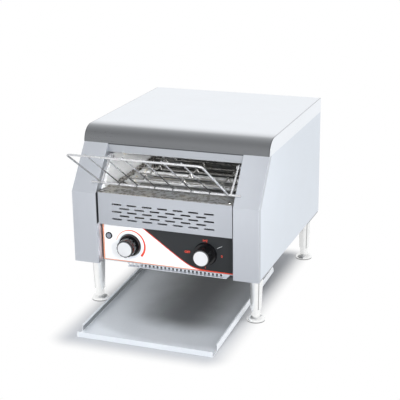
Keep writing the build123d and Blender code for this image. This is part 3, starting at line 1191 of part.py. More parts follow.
# ---------------------------------------------------------------- nodes
def build_nodes():
    """Every node by name."""
    nodes = {"top_cover": top_cover(), "rear_panel": rear_panel(), "base_plate": base_plate()}
    nodes["right_side_panel"], nodes["left_side_panel"] = both_sides(side_panel())
    nodes["right_front_column"], nodes["left_front_column"] = both_sides(front_column())
    nodes["right_inner_wall"] = right_inner_wall()
    nodes["left_inner_wall"] = mirror(inner_wall(), about=Plane.YZ)
    nodes["lintel_panel"] = lintel_panel()
    nodes["feed_shelf"] = feed_shelf()
    nodes["vent_cover"] = vent_cover()
    nodes["control_panel"] = control_panel()
    nodes["control_overlay"] = control_overlay()
    nodes["guard_strip"] = guard_strip()
    nodes["heat_shield"] = heat_shield()
    nodes["upper_reflector"] = upper_reflector()
    nodes["lower_reflector"] = lower_reflector()
    nodes["toast_chute"] = toast_chute()
    nodes["right_conveyor_chain"], nodes["left_conveyor_chain"] = both_sides(conveyor_chain())
    nodes["conveyor_bars"] = conveyor_bars()
    nodes["drive_shaft"] = drive_shaft()
    nodes["drive_shaft_sprockets"] = drive_sprockets()
    nodes["idler_shaft"] = idler_shaft()
    nodes["idler_shaft_sprockets"] = idler_sprockets()
    nodes["shaft_bushes"] = shaft_bushes()
    nodes["gear_motor"] = gear_motor()
    nodes["motor_sprocket"] = motor_sprocket()
    nodes["drive_chain"] = drive_chain()
    nodes["upper_heating_tubes"] = heating_tubes(UPPER_TUBE_Z)
    nodes["lower_heating_tubes"] = heating_tubes(SHAFT_Z)
    nodes["tube_end_caps"] = tube_end_caps()
    for name, place in (("speed", SPEED_KNOB), ("selector", SELECTOR_KNOB)):
        nodes[f"{name}_knob"] = knob(place)
        nodes[f"{name}_knob_cap"] = knob_cap(place)
        nodes[f"{name}_spindle"] = spindle(place)
    nodes["speed_controller"] = speed_controller()
    nodes["selector_switch"] = selector_switch()
    nodes["spindle_nuts"] = spindle_nuts()
    nodes["lamp_bezel"] = lamp_bezel()
    nodes["lamp_lens"] = lamp_lens()
    nodes.update({f"leg_{name}": leg for name, leg in legs().items()})
    nodes.update({f"foot_{name}": foot for name, foot in feet().items()})
    nodes["leg_brackets"] = leg_brackets()
    nodes["toast_tray"] = toast_tray()
    nodes["feed_rack"] = feed_rack()
    nodes["rack_pins"] = rack_pins()
    nodes["terminal_block"] = terminal_block()
    nodes["cable_gland"] = cable_gland()
    nodes["shelf_screws"] = shelf_screws()
    nodes["case_screws"] = case_screws()
    return nodes


def front_reach():
    """Lowest y of the whole toaster: the rack's front bar or the tips of its wires."""
    low, high = rack_rail_places()
    along = (high - low).normalized()
    lift = RACK_FRAME_RADIUS + RACK_WIRE_RADIUS - WELD
    tip_y = high.Y + RACK_TIP * along.Y + (lift - RACK_WIRE_RADIUS) * along.Z
    return min(high.Y - RACK_FRAME_RADIUS, tip_y, TRAY_FRONT_Y)


Y_FRONT = front_reach()
SHIFT_Y = -(Y_FRONT + Y_REAR) / 2
os.makedirs("parts", exist_ok=True)
for node, shape in build_nodes().items():
    moved = [Pos(0, SHIFT_Y, 0) * solid for solid in shape.solids()]
    export_step(moved[0] if len(moved) == 1 else Compound(moved), f"parts/{node}.step")
print(f"origin shift in y {SHIFT_Y:.3f}, overall depth {Y_REAR - Y_FRONT:.1f}")
print(f"rear shaft y {REAR_SHAFT_Y:.3f}")
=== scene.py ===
# %% [markdown]
# # A countertop conveyor toaster
# Bread is laid on a wire rack, slides onto a belt of steel wires, rides back between two rows of
# quartz heating tubes, turns down over a curved chute and comes out on a tray that stands on the
# counter. The construction comes in finished, at its real size, as separate named nodes that
# ride on moving bodies. This script gives every node its surface, replaces the plain loops of
# the conveyor chains with real roller chains, and adds what is too fine for the construction:
# heating coils, the print on the front film and the marks round the dials.

# %% Load the model
import json
import math

import bmesh
import bpy
from mathutils import Matrix, Vector


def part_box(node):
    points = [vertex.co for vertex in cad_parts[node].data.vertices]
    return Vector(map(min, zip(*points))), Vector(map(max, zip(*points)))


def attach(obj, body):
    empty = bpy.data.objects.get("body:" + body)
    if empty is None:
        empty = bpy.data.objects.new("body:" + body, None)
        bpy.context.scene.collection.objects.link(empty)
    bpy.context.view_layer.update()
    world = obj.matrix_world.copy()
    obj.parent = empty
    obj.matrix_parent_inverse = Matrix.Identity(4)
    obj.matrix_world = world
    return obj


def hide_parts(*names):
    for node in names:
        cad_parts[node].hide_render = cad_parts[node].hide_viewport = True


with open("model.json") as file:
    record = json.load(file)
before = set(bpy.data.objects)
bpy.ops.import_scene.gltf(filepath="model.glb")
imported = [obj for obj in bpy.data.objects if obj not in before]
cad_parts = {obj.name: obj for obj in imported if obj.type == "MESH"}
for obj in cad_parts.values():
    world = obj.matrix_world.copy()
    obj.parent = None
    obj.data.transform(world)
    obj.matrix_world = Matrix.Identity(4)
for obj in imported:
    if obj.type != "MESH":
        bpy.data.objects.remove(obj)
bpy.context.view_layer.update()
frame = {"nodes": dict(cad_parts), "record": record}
nodes = frame["nodes"]
MM = 0.001
SLOT_OF = {part["node"]: part["material_slot"] for part in frame["record"]["subparts"]}

# %% [markdown]
# ## Camera
# The toaster is looked at from the front, a little to its right and from above, from far enough
# away that its long edges stay nearly parallel. A camera could be aimed with a Track To
# constraint, but a matrix built from three angles says exactly where it stands, and it takes the
# small roll of a camera that wasn't quite level.

# %% Place the camera
CAMERA_TARGET = Vector((-2.2, 44.0, 175.6)) * MM
CAMERA_DISTANCE = 2.157
CAMERA_AZIMUTH = math.radians(20.57)
CAMERA_ELEVATION = math.radians(18.09)
CAMERA_ROLL = math.radians(-0.77)
CAMERA_LENS = 97.12
CAMERA_SENSOR = 36.0

camera_data = bpy.data.cameras.new("camera")
camera_data.lens = CAMERA_LENS
camera_data.sensor_width = CAMERA_SENSOR
camera = bpy.data.objects.new("camera", camera_data)
bpy.context.scene.collection.objects.link(camera)
backward = Vector((math.sin(CAMERA_AZIMUTH) * math.cos(CAMERA_ELEVATION),
                   -math.cos(CAMERA_AZIMUTH) * math.cos(CAMERA_ELEVATION),
                   math.sin(CAMERA_ELEVATION)))
level_right = (-backward).cross(Vector((0, 0, 1))).normalized()
level_up = level_right.cross(-backward)
right = math.cos(CAMERA_ROLL) * level_right + math.sin(CAMERA_ROLL) * level_up
up = -math.sin(CAMERA_ROLL) * level_right + math.cos(CAMERA_ROLL) * level_up
turn = Matrix((right, up, backward)).transposed().to_4x4()
camera.matrix_world = Matrix.Translation(CAMERA_TARGET + backward * CAMERA_DISTANCE) @ turn
bpy.context.scene.camera = camera
bpy.context.scene.view_settings.view_transform = "Standard"
print("camera at", [round(part, 3) for part in camera.matrix_world.translation])

# %% [markdown]
# ## Sockets that do maths
# Every finish below is a graph of nodes. Wiring each Math node by hand hides the idea behind the
# bookkeeping, so a wire, one output of a node, takes Python's own operators: `1 - mask * 0.3`
# adds the two Math nodes that it says. Colours and vectors go through Mix and Vector Math nodes,
# because a Math node would turn a colour grey.

# %% A wire that does maths
class Wire:
    """One output of a node. Python's operators on it add Math nodes."""

    def __init__(self, graph, socket):
        self.graph = graph
        self.socket = socket

    def other(self, name):
        """Another output of the same node."""
        return Wire(self.graph, self.socket.node.outputs[name])

    def __add__(self, value):
        return self.graph.maths("ADD", self, value)

    def __radd__(self, value):
        return self.graph.maths("ADD", value, self)

    def __sub__(self, value):
        return self.graph.maths("SUBTRACT", self, value)

    def __rsub__(self, value):
        return self.graph.maths("SUBTRACT", value, self)

    def __mul__(self, value):
        return self.graph.maths("MULTIPLY", self, value)

    def __rmul__(self, value):
        return self.graph.maths("MULTIPLY", value, self)

    def __truediv__(self, value):
        return self.graph.maths("DIVIDE", self, value)

    def __pow__(self, value):
        return self.graph.maths("POWER", self, value)

    def __abs__(self):
        return self.graph.maths("ABSOLUTE", self)


print("methods of a wire:", [name for name, value in vars(Wire).items() if callable(value)])

# %% [markdown]
# ## One method for every other node
# A node is its type, its settings and the values or wires of its sockets, and one method takes
# them in that order. Settings come first, because a ramp's stops or a Mix node's data type
# decide what the sockets do. The other methods are short names for the nodes used most.

# %% A graph of nodes
MIX_COLOURS = (6, 7)             # a Mix node repeats its sockets' names, so these go by number
MIX_RESULT = 2


class Graph:
    """The node tree of a material or of the world, emptied for new nodes."""

    def __init__(self, owner):
        owner.use_nodes = True
        self.tree = owner.node_tree
        self.tree.nodes.clear()

    def node(self, kind, settings=None, inputs=None, output=0):
        """Adds a node, makes its settings, then gives its sockets values or wires."""
        made = self.tree.nodes.new("ShaderNode" + kind)
        for name, value in (settings or {}).items():
            if name == "stops":
                self.set_stops(made.color_ramp.elements, value)
            else:
                setattr(made, name, value)
        for name, value in (inputs or {}).items():
            if isinstance(value, Wire):
                self.tree.links.new(value.socket, made.inputs[name])
            else:
                made.inputs[name].default_value = value
        return Wire(self, made.outputs[output]) if made.outputs else None

    def set_stops(self, elements, stops):
        """A ramp's stops, as pairs of a place and a grey."""
        while len(elements) < len(stops):
            elements.new(1.0)
        for element, (place, grey) in zip(elements, stops):
            element.position = place
            element.color = (grey, grey, grey, 1)

    def maths(self, operation, *values):
        """A Math node, on numbers."""
        return self.node("Math", {"operation": operation}, dict(enumerate(values)))

    def vector(self, operation, *values):
        """A Vector Math node."""
        return self.node("VectorMath", {"operation": operation}, dict(enumerate(values)))

    def mix(self, mask, low, high, blend="MIX"):
        """Colour low where the mask is 0 and high where it is 1."""
        settings = {"data_type": "RGBA", "blend_type": blend}
        inputs = {0: mask, MIX_COLOURS[0]: low, MIX_COLOURS[1]: high}
        return self.node("Mix", settings, inputs, output=MIX_RESULT)

    def ease(self, value, start, end):
        """0 before start and 1 after end, with a smooth step between them."""
        inputs = {"Value": value, "From Min": start, "From Max": end}
        return self.node("MapRange", {"interpolation_type": "SMOOTHSTEP"}, inputs)

    def inside(self, value, limit, soft):
        """1 where the value is under the limit, and 0 over it."""
        return 1 - self.ease(value, limit - soft, limit + soft)


print("methods of a graph:", [name for name, value in vars(Graph).items() if callable(value)])

# %% [markdown]
# ## What all finishes share
# A finish starts from the piece's own coordinates, here in millimetres, so that a scratch or a
# grain line has its real size and travels with a piece that moves. A texture could be laid on by
# UV maps, but folded sheet has none, and coordinates of the solid need none.

# %% The finish of a surface
class Finish(Graph):
    """A material whose graph starts at the piece's own coordinates in millimetres."""

    def __init__(self, name):
        self.material = bpy.data.materials.new(name)
        super().__init__(self.material)
        metres = self.node("TexCoord", output="Object")
        self.place = self.vector("MULTIPLY", metres, (1 / MM, 1 / MM, 1 / MM))
        self.x = self.node("SeparateXYZ", inputs={0: self.place})
        self.y = self.x.other("Y")
        self.z = self.x.other("Z")

    def noise(self, periods, detail=2.0, roughness=0.5):
        """Noise of about 0 to 1, with its own period in millimetres along each axis."""
        place = self.vector("MULTIPLY", self.place, tuple(1 / period for period in periods))
        return self.node("TexNoise", {}, {"Vector": place, "Scale": 1.0, "Detail": detail,
                                          "Roughness": roughness})

    def shaded(self, colour, shade):
        """A colour made darker or lighter by a number round 1."""
        return self.mix(1.0, colour, shade, "MULTIPLY")

    def done(self, sockets, height, depth):
        """Ends in a Principled BSDF. A height of 1 stands up by the depth, in millimetres."""
        bump = {"Height": height, "Distance": depth * MM, "Strength": 1.0}
        sockets["Normal"] = self.node("Bump", {}, bump)
        shader = self.node("BsdfPrincipled", {}, sockets)
        self.node("OutputMaterial", {}, {"Surface": shader})
        return self.material


print("a finish adds:", [name for name, value in vars(Finish).items() if callable(value)])

# %% [markdown]
# ## Colours, paint and new pieces
# The colour numbers of a screen are bent by a gamma curve, while shaders work in plain light, so
# a helper straightens them. A node of the construction keeps its mesh and only gets a material. A
# piece that is added here is also given its material and told which body it rides on, so that it
# moves with the rest.

# %% Helpers for pieces
GAMMA = 2.2


def rgb(red, green, blue):
    """A colour from its familiar 0 to 255 numbers, in the linear light that shaders use."""
    return tuple((part / 255) ** GAMMA for part in (red, green, blue)) + (1.0,)


def paint(material, *names):
    """Gives CAD nodes their material."""
    for name in names:
        mesh = nodes[name].data
        mesh.materials.clear()
        mesh.materials.append(material)


def add_piece(name, data, material, body):
    """Links a new piece, gives it a material and lets it ride on a body."""
    data.materials.append(material)
    piece = bpy.data.objects.new(name, data)
    bpy.context.scene.collection.objects.link(piece)
    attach(piece, body)
    return piece


print("a middle grey in linear light:", [round(part, 3) for part in rgb(128, 128, 128)])

# %% [markdown]
# ## Stainless sheet
# The case is folded from stainless sheet with a fine brushed grain. The grain is thousands of
# scratches along the rolling direction: far longer than wide, a few micrometres deep. So the
# noise is stretched along the grain, and it moves colour, roughness and height a little each.
# Clouds of a hand's size stand for wiping and handling. The sheet's brightness is mostly what it
# reflects, so its own colour stays near that of clean steel.

# %% A brushed sheet
LONG_WAY = 60.0                  # period of the scratches along the grain
SHORT_WAY = 0.5                  # and across it
HAND_SIZE = 70.0                 # period of the clouds that hands and cloths leave
GRAIN_DEPTH = 0.004


def grain_periods(along):
    """Periods of brushed scratches that run along one axis."""
    return tuple(LONG_WAY if axis == along else SHORT_WAY for axis in "xyz")


def steel_sheet(name, colour, along, roughness, grain=0.10, clouds=0.08, metallic=1.0,
                extra=None):
    """Brushed stainless sheet. The extra function may darken it by place."""
    finish = Finish(name)
    scratches = finish.noise(grain_periods(along), detail=3.0) - 0.5
    handling = finish.noise((HAND_SIZE,) * 3, detail=4.0, roughness=0.6) - 0.5
    shade = 1 + scratches * grain + handling * clouds
    if extra is not None:
        shade = shade * extra(finish)
    return finish.done({"Base Color": finish.shaded(colour, shade),
                        "Metallic": metallic,
                        "Roughness": roughness + scratches * 0.18 + handling * 0.10},
                       height=scratches, depth=GRAIN_DEPTH)


print("periods of a grain along x:", grain_periods("x"))

# %% [markdown]
# ## Bends, folds and joints
# A folded sheet isn't equally bright all over, and here its light and shade are painted. A rolled
# bend gets a dark band of painted reflection, and a fold gets a thin line of painted shade. The
# columns' inner folds get painted light beside the film and painted shade beside the vent cover,
# and the joint under the lid's edge gets a line of painted shade. These marks could be painted on
# an image, but a mask from coordinates and from the piece's own box stays sharp, and it still
# fits when the toaster's size changes.

# %% The lid's bend and side folds
lid_low, lid_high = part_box("top_cover")
BEND_RADIUS = 29.0
BEND_SHADE = 0.75                # how much darker the bend is at the lid's front edge
BEND_FULL = 37.0                 # degrees round the bend, up from the edge
BEND_GONE = 142.0                # past a right angle, so it fades out over the flat top
FRONT_SOFT = 0.3                 # softness of its border beside the side faces
EDGE_TURN = 38.0                 # below this many degrees it is a little darker still
EDGE_TURN_SOFT = 25.0
EDGE_SHADE = 0.03
LID_HALF_WIDTH = lid_high.x / MM
LID_SIDE = 0.5                   # depth of the side faces, which have no bend
FOLD_LINE = 0.9                  # half the width of the darker line on the lid's side folds
FOLD_SHADE = 0.4
LINE_SOFT = 0.2                  # softness of a thin line's edges
PATCH_SOFT = 0.5                 # softness of a patch's edges


def lid_reflection_and_shade(finish):
    """The lid's bend is darker, a painted dark reflection, and its side folds get a line of
    painted shade.
    """
    forward = lid_low.y / MM + BEND_RADIUS - finish.y
    upward = finish.z - (lid_high.z / MM - BEND_RADIUS)
    turned = finish.maths("ARCTAN2", upward, forward) * (180 / math.pi)
    bend = 1 - finish.ease(turned, BEND_FULL, BEND_GONE)
    on_front = finish.inside(abs(finish.x), LID_HALF_WIDTH - LID_SIDE, FRONT_SOFT)
    edge = finish.inside(turned, EDGE_TURN, EDGE_TURN_SOFT)
    off_fold = abs(abs(finish.x) - (LID_HALF_WIDTH - FOLD_LINE - LINE_SOFT))
    fold = finish.inside(off_fold, FOLD_LINE, LINE_SOFT)
    front = (1 - bend * on_front * BEND_SHADE) * (1 - edge * on_front * EDGE_SHADE)
    return front * (1 - fold * FOLD_SHADE)


print("lid in mm:", [round(side / MM) for side in lid_high - lid_low])

# %% Painted light and shade on the columns' inner folds, and painted shade over the lintel
column_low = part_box("right_front_column")[0]
vent_low, vent_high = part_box("vent_cover")
RETURN_FACE = 0.7                # depth of the inner folds' faces
RETURN_SHADE = 0.3               # painted light: how much brighter the columns' inner folds are beside the film
GAP_SHADE = 0.85                 # painted shade: how much darker the folds are beside the vent cover
GAP_END = 1.0                    # below the vent cover's top
JOINT_LINE = 2.4                 # height of the painted shade in the joint under the lid's front edge
JOINT_SOFT = 0.3
JOINT_SHADE = 0.8


def column_fold_light_and_shade(finish):
    """Painted light on the columns' inner folds beside the film, painted shade beside the vent
    cover.
    """
    on_return = finish.inside(abs(finish.x), column_low.x / MM + RETURN_FACE, LINE_SOFT)
    beside_film = finish.inside(finish.z, vent_low.z / MM, PATCH_SOFT)
    under_top = finish.inside(finish.z, vent_high.z / MM - GAP_END, PATCH_SOFT)
    beside_vent = (1 - beside_film) * under_top
    return 1 + on_return * (beside_film * RETURN_SHADE - beside_vent * GAP_SHADE)


def lintel_painted_shade(finish):
    """Painted shade in the joint between the lid's lower edge and the lintel."""
    joint = lid_low.z / MM - JOINT_LINE
    return 1 - finish.ease(finish.z, joint - JOINT_SOFT, joint + JOINT_SOFT) * JOINT_SHADE


print("vent cover from", round(vent_low.z / MM), "to", round(vent_high.z / MM), "mm up")

# %% Paint the case
# All these pieces are the same brushed stainless. Their different colours are painted light and
# shade: the columns, the front pieces and the lintel are painted darker, and the side panels get a
# painted blue from the light on the right.
SHEET_COLOUR = rgb(240, 244, 249)
SIDE_COLOUR = rgb(220, 227, 235)
COLUMN_COLOUR = rgb(190, 194, 201)
FRONT_COLOUR = rgb(176, 180, 187)
GUARD_COLOUR = rgb(222, 226, 232)
LINTEL_COLOUR = rgb(171, 175, 181)
SATIN = 0.75                     # a brushed sheet scatters part of the light like a pale matt one

paint(steel_sheet("lid_steel", SHEET_COLOUR, "x", roughness=0.32, extra=lid_reflection_and_shade), "top_cover")
paint(steel_sheet("side_steel", SIDE_COLOUR, "y", roughness=0.34, metallic=SATIN),
      "left_side_panel", "right_side_panel")
paint(steel_sheet("column_steel", COLUMN_COLOUR, "z", roughness=0.38, metallic=SATIN,
                  extra=column_fold_light_and_shade), "left_front_column", "right_front_column")
paint(steel_sheet("front_steel", FRONT_COLOUR, "x", roughness=0.38, metallic=SATIN),
      "vent_cover", "control_panel")
paint(steel_sheet("guard_steel", GUARD_COLOUR, "x", roughness=0.34, metallic=SATIN),
      "guard_strip")
paint(steel_sheet("lintel_steel", LINTEL_COLOUR, "x", roughness=0.32, metallic=SATIN,
                  extra=lintel_painted_shade), "lintel_panel")
paint(steel_sheet("rear_steel", SHEET_COLOUR, "x", roughness=0.34), "rear_panel")
print("sheet pieces:", [name for name, slot in SLOT_OF.items() if slot == "brushed_stainless"])

# %% [markdown]
# ## Sheet round the toasting chamber
# The chamber's walls and reflectors are mill-finished sheet, smoother than the brushed case. Heat
# turns such sheet straw yellow and brown near the tubes, and crumbs leave fine dark specks. The
# tint could follow the distance from the tubes, but on real sheet it comes in blotches, so
# clouds of noise place it, and a finer noise with a hard threshold makes the specks.

# %% Mill-finished and heat-tinted sheet
ROLL_MARKS = (40.0, 1.5, 40.0)   # periods of the lines that rolling leaves
CLOUD_SIZE = 45.0                # period of the heat tint's clouds
SPECK_RISE = 0.08                # how fast a speck begins where the noise is over crumbs
STRAW = rgb(206, 192, 160)
BURNT = rgb(70, 60, 50)


def chamber_sheet(name, colour, roughness, tint_amount, crumbs=0.66, crumb_size=3.0,
                  metallic=0.3):
    """Smooth sheet with heat tint in clouds. Burnt specks lie where a noise is over crumbs."""
    finish = Finish(name)
    rolling = finish.noise(ROLL_MARKS) - 0.5
    clouds = finish.noise((CLOUD_SIZE,) * 3, detail=4.0)
    crumb_noise = finish.noise((crumb_size,) * 3, detail=2.0)
    specks = finish.ease(crumb_noise, crumbs, crumbs + SPECK_RISE)
    heated = finish.ease(clouds, 0.42, 0.70) * tint_amount
    colour = finish.mix(heated, colour, STRAW)
    colour = finish.mix(specks * 0.6, colour, BURNT)
    return finish.done({"Base Color": finish.shaded(colour, 1 + rolling * 0.08),
                        "Metallic": metallic * (1 - specks),
                        "Roughness": roughness + clouds * 0.12 + specks * 0.3},
                       height=rolling + specks * 0.8, depth=0.01)


paint(chamber_sheet("wall_sheet", rgb(252, 253, 254), 0.24, 0.05, metallic=0.12),
      "left_inner_wall", "right_inner_wall")
paint(chamber_sheet("reflector_sheet", rgb(152, 154, 157), 0.22, 0.3),
      "upper_reflector", "lower_reflector")
paint(chamber_sheet("chute_sheet", rgb(140, 142, 145), 0.26, 0.3), "toast_chute", "base_plate")
# The heat shield's dark grey is painted shade: it is seen through the guard strip's slots.
paint(chamber_sheet("shield_sheet", rgb(84, 85, 87), 0.34, 0.3), "heat_shield")
paint(chamber_sheet("shelf_sheet", rgb(142, 144, 145), 0.30, 0.3, crumbs=0.48,
                    crumb_size=7.0), "feed_shelf")
print("chamber pieces:", [name for name, slot in SLOT_OF.items() if slot == "plain_stainless"])

# %% [markdown]
# ## The tray
# The loose tray stands under the toaster, which is mirrored in its middle and shades it. That is
# painted: the middle is darkened as a painted reflection of the toaster's underside, and darker
# still at its core as a painted shadow, while the rim is painted brighter. A curved edge parts the
# two, so the mask is the distance from a point near the tray's rear, bent by some noise. The inner
# faces of the sides get painted shade, and the rear, under the chamber, a painted shadow.

# %% A tray with painted reflection, shadow and light
tray_low, tray_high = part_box("toast_tray")
tray_middle = (tray_low.x + tray_high.x) / 2 / MM
tray_half_width = (tray_high.x - tray_low.x) / 2 / MM
TRAY_SHADE_MIDDLE = (30.0, 128.0)     # right of the tray's middle, and behind its front edge
TRAY_SHADE_REACH = (215.0, 118.0)     # how far the painted reflection reaches to the sides and forwards
REFLECTION_EDGE = 0.82                # the share of that distance at which the painted reflection starts to end
REFLECTION_SHADE = 0.18
WOBBLE_SIZE = 50.0               # period of the noise that bends the dull place's edge
WOBBLE = 0.12
CORE_START = 0.05
CORE_REACH = 0.60                # the share of that distance over which it is darker still
CORE_SHADE = 0.74
TRAY_RIM = 3.0                   # width of the folded-up sides, which get painted light
RIM_LIGHT = 0.15
TRAY_SHEET = 1.0                 # thickness of the tray's sheet
FACE_DEPTH = 0.2                 # how near to a side's inner face a point counts as on it
FACE_SOFT = 0.1
FACE_SHADE = 0.8                 # painted shade: how much darker the inner faces of the sides are
REAR_SHADOW_DEPTH = 52.0               # of the painted shadow, forward from the tray's rear edge
REAR_SHADOW_SOFT = 8.0
REAR_SHADOW_SHADE = 0.9


def tray_painted_shade(finish):
    """Painted reflection of the toaster's underside up to a curved front edge, and painted shadow
    in the middle of that. The sides get painted light and shade, the rear a painted shadow.
    """
    across = (finish.x - (tray_middle + TRAY_SHADE_MIDDLE[0])) / TRAY_SHADE_REACH[0]
    back = finish.y - (tray_low.y / MM + TRAY_SHADE_MIDDLE[1])
    along = finish.maths("MINIMUM", back, 0.0) / TRAY_SHADE_REACH[1]
    wobble = (finish.noise((WOBBLE_SIZE,) * 3, detail=3.0) - 0.5) * WOBBLE
    reach = (across * across + along * along) ** 0.5 + wobble
    off_middle = abs(finish.x - tray_middle)
    on_floor = finish.inside(off_middle, tray_half_width - TRAY_RIM, PATCH_SOFT)
    off_face = abs(off_middle - (tray_half_width - TRAY_SHEET))
    on_face = finish.inside(off_face, FACE_DEPTH, FACE_SOFT)
    rear_shadow_end = tray_high.y / MM - REAR_SHADOW_DEPTH
    rear_shadow = finish.ease(finish.y, rear_shadow_end - REAR_SHADOW_SOFT, rear_shadow_end + REAR_SHADOW_SOFT)
    reflected = 1 - finish.ease(reach, REFLECTION_EDGE, 1.0)
    shadowed = 1 - finish.ease(reach, CORE_START, CORE_REACH)
    rim = 1 + (1 - on_floor) * RIM_LIGHT - on_face * FACE_SHADE
    toaster_shade = (1 - reflected * on_floor * REFLECTION_SHADE) * (1 - shadowed * on_floor * CORE_SHADE)
    return rim * toaster_shade * (1 - rear_shadow * on_floor * REAR_SHADOW_SHADE)


paint(steel_sheet("tray_steel", rgb(244, 249, 254), "y", roughness=0.40, grain=0.14,
                  clouds=0.12, metallic=0.35, extra=tray_painted_shade), "toast_tray")
print("tray depth in mm:", round((tray_high.y - tray_low.y) / MM))

# %% [markdown]
# ## Bright metal
# The legs and feet are polished, and the rack, the belt and the screws are bright drawn steel. A
# mirror shows every dent, so the bump here is broad and shallow: it bends the reflections without
# dulling them. Fine hairlines and a few dull fingerprints keep it from looking liquid.

# %% Polished metal
WAVE_SIZE = 25.0                 # period of the slow waves
WAVE_DEPTH = 0.03
TOUCH_SIZE = 18.0                # period of the duller touches


def bright_metal(name, colour, roughness, along="z", metallic=1.0, extra=None):
    """Polished metal with waves, hairlines and duller touches. Extra may darken it by place."""
    finish = Finish(name)
    waves = finish.noise((WAVE_SIZE,) * 3, detail=1.0)
    hairlines = finish.noise(grain_periods(along), detail=2.0) - 0.5
    touched = finish.ease(finish.noise((TOUCH_SIZE,) * 3, detail=3.0), 0.52, 0.72)
    shade = 1 + hairlines * 0.06 - touched * 0.05
    if extra is not None:
        shade = shade * extra(finish)
    return finish.done({"Base Color": finish.shaded(colour, shade),
                        "Metallic": metallic,
                        "Roughness": roughness + touched * 0.10 + abs(hairlines) * 0.06},
                       height=waves + hairlines * 0.05, depth=WAVE_DEPTH)


paint(bright_metal("screw_steel", rgb(206, 206, 204), 0.22, along="x"),
      "shelf_screws", "case_screws")
print("screws:", [name for name, slot in SLOT_OF.items() if slot == "screw_steel"])

# %% [markdown]
# ## Legs and feet
# Each leg is a polished cone. A thin darker line down one side of it is a painted reflection, and
# a darker line low round every foot is painted shade, where it meets the counter. All legs share
# one material, so the line's place is measured from the middle of the nearest leg.

# %% Painted reflection on the legs, painted shade on the feet
STREAK_TURN = math.radians(42)     # of a leg's painted reflection line, from its front towards the toaster's side
STREAK_HALF_WIDTH = 0.9
STREAK_SOFT = 0.6
STREAK_SHADE = 0.6
FOOT_SHADE_HEIGHT = 1.8                 # height of the painted shade where a foot meets the counter
FOOT_SHADE_SOFT = 0.3
FOOT_SHADE = 0.7
POLISHED_STEEL = rgb(252, 252, 251)
leg_names = [name for name in nodes if name.startswith("leg_")]
leg_names.remove("leg_brackets")
foot_names = [name for name in nodes if name.startswith("foot_")]
front_leg_low, front_leg_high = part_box("leg_front_right")
rear_leg_low, rear_leg_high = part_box("leg_rear_right")
leg_x = (front_leg_low.x + front_leg_high.x) / 2 / MM
front_leg_y = (front_leg_low.y + front_leg_high.y) / 2 / MM
rear_leg_y = (rear_leg_low.y + rear_leg_high.y) / 2 / MM


def leg_painted_reflection(finish):
    """A thin darker line down one side of a leg: a painted reflection."""
    outward = abs(finish.x) - leg_x
    is_rear = finish.maths("GREATER_THAN", finish.y, (front_leg_y + rear_leg_y) / 2)
    forward = front_leg_y + is_rear * (rear_leg_y - front_leg_y) - finish.y
    off_streak = outward * math.cos(STREAK_TURN) - forward * math.sin(STREAK_TURN)
    on_side = finish.ease(outward * math.sin(STREAK_TURN) + forward * math.cos(STREAK_TURN), 0, 1)
    dark_streak = finish.inside(abs(off_streak), STREAK_HALF_WIDTH, STREAK_SOFT)
    return 1 - dark_streak * on_side * STREAK_SHADE


def foot_painted_shade(finish):
    """Painted shade low on a foot, where it meets the counter."""
    return 1 - finish.inside(finish.z, FOOT_SHADE_HEIGHT, FOOT_SHADE_SOFT) * FOOT_SHADE


paint(bright_metal("leg_steel", POLISHED_STEEL, 0.12, metallic=0.7, extra=leg_painted_reflection), *leg_names)
paint(bright_metal("foot_steel", POLISHED_STEEL, 0.12, metallic=0.7, extra=foot_painted_shade),
      *foot_names)
print("polished:", leg_names + foot_names)

# %% [markdown]
# ## The wires of the rack and the belt
# The rack's thin wires end over the mouth of the chamber, and there they are darkened as painted
# shade. The rack is one node, so the mask has to find those wires: a Math node's ping-pong folds x
# back and forth, and what it returns is the distance from the nearest of the evenly spaced wires.

# %% Painted shade on the wire ends
rack_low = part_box("feed_rack")[0]
RACK_CLEARANCE = 5.0             # between the rack's side wires and the chamber's walls
RACK_HALF_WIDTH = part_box("right_inner_wall")[0].x / MM - RACK_CLEARANCE
RACK_WIRES = 6                   # thin wires, between the two at the sides
WIRE_REACH = 1.4                 # a thin wire's radius and a little more
WIRE_SOFT = 0.1
WIRE_SHADE_REACH = 72.0                # how far behind the front bar the wires start to darken
WIRE_SHADE_SOFT = 6.0
WIRE_SHADE = 0.8


def wire_painted_shade(finish):
    """The ends of the rack's thin wires, over the mouth of the chamber, get painted shade."""
    gap = 2 * RACK_HALF_WIDTH / (RACK_WIRES + 1)
    off_wire = finish.maths("PINGPONG", finish.x + RACK_HALF_WIDTH, gap / 2)
    on_wire = finish.inside(off_wire, WIRE_REACH, WIRE_SOFT)
    on_wire = on_wire * finish.inside(abs(finish.x), RACK_HALF_WIDTH - gap / 2, PATCH_SOFT)
    start = rack_low.y / MM + WIRE_SHADE_REACH
    return 1 - on_wire * finish.ease(finish.y, start - WIRE_SHADE_SOFT, start + WIRE_SHADE_SOFT) * WIRE_SHADE


paint(bright_metal("rack_wire", rgb(196, 197, 199), 0.26, along="y", metallic=0.6,
                   extra=wire_painted_shade), "feed_rack", "rack_pins")
paint(bright_metal("belt_wire", rgb(166, 165, 162), 0.26, along="x", metallic=0.6),
      "conveyor_bars")
print("wires every", round(2 * RACK_HALF_WIDTH / (RACK_WIRES + 1), 1), "mm")

# %% [markdown]
# ## Machined parts
# Shafts, sprockets, chains and spindles are turned or stamped from plain steel and carry a film
# of heat-proof grease that gathers dust. Grease is a dielectric, so where it is thick the surface
# is less metallic, darker and glossier. Two shaders could be mixed for that, but one shader whose
# values change with the grease is simpler.

# %% Oily machined steel and bronze
TOOL_MARKS = (0.6, 14, 14)       # periods of the marks that turning leaves, finest along x
PATCH_SIZE = 9.0                 # period of the greasy patches
GREASE = rgb(52, 46, 40)


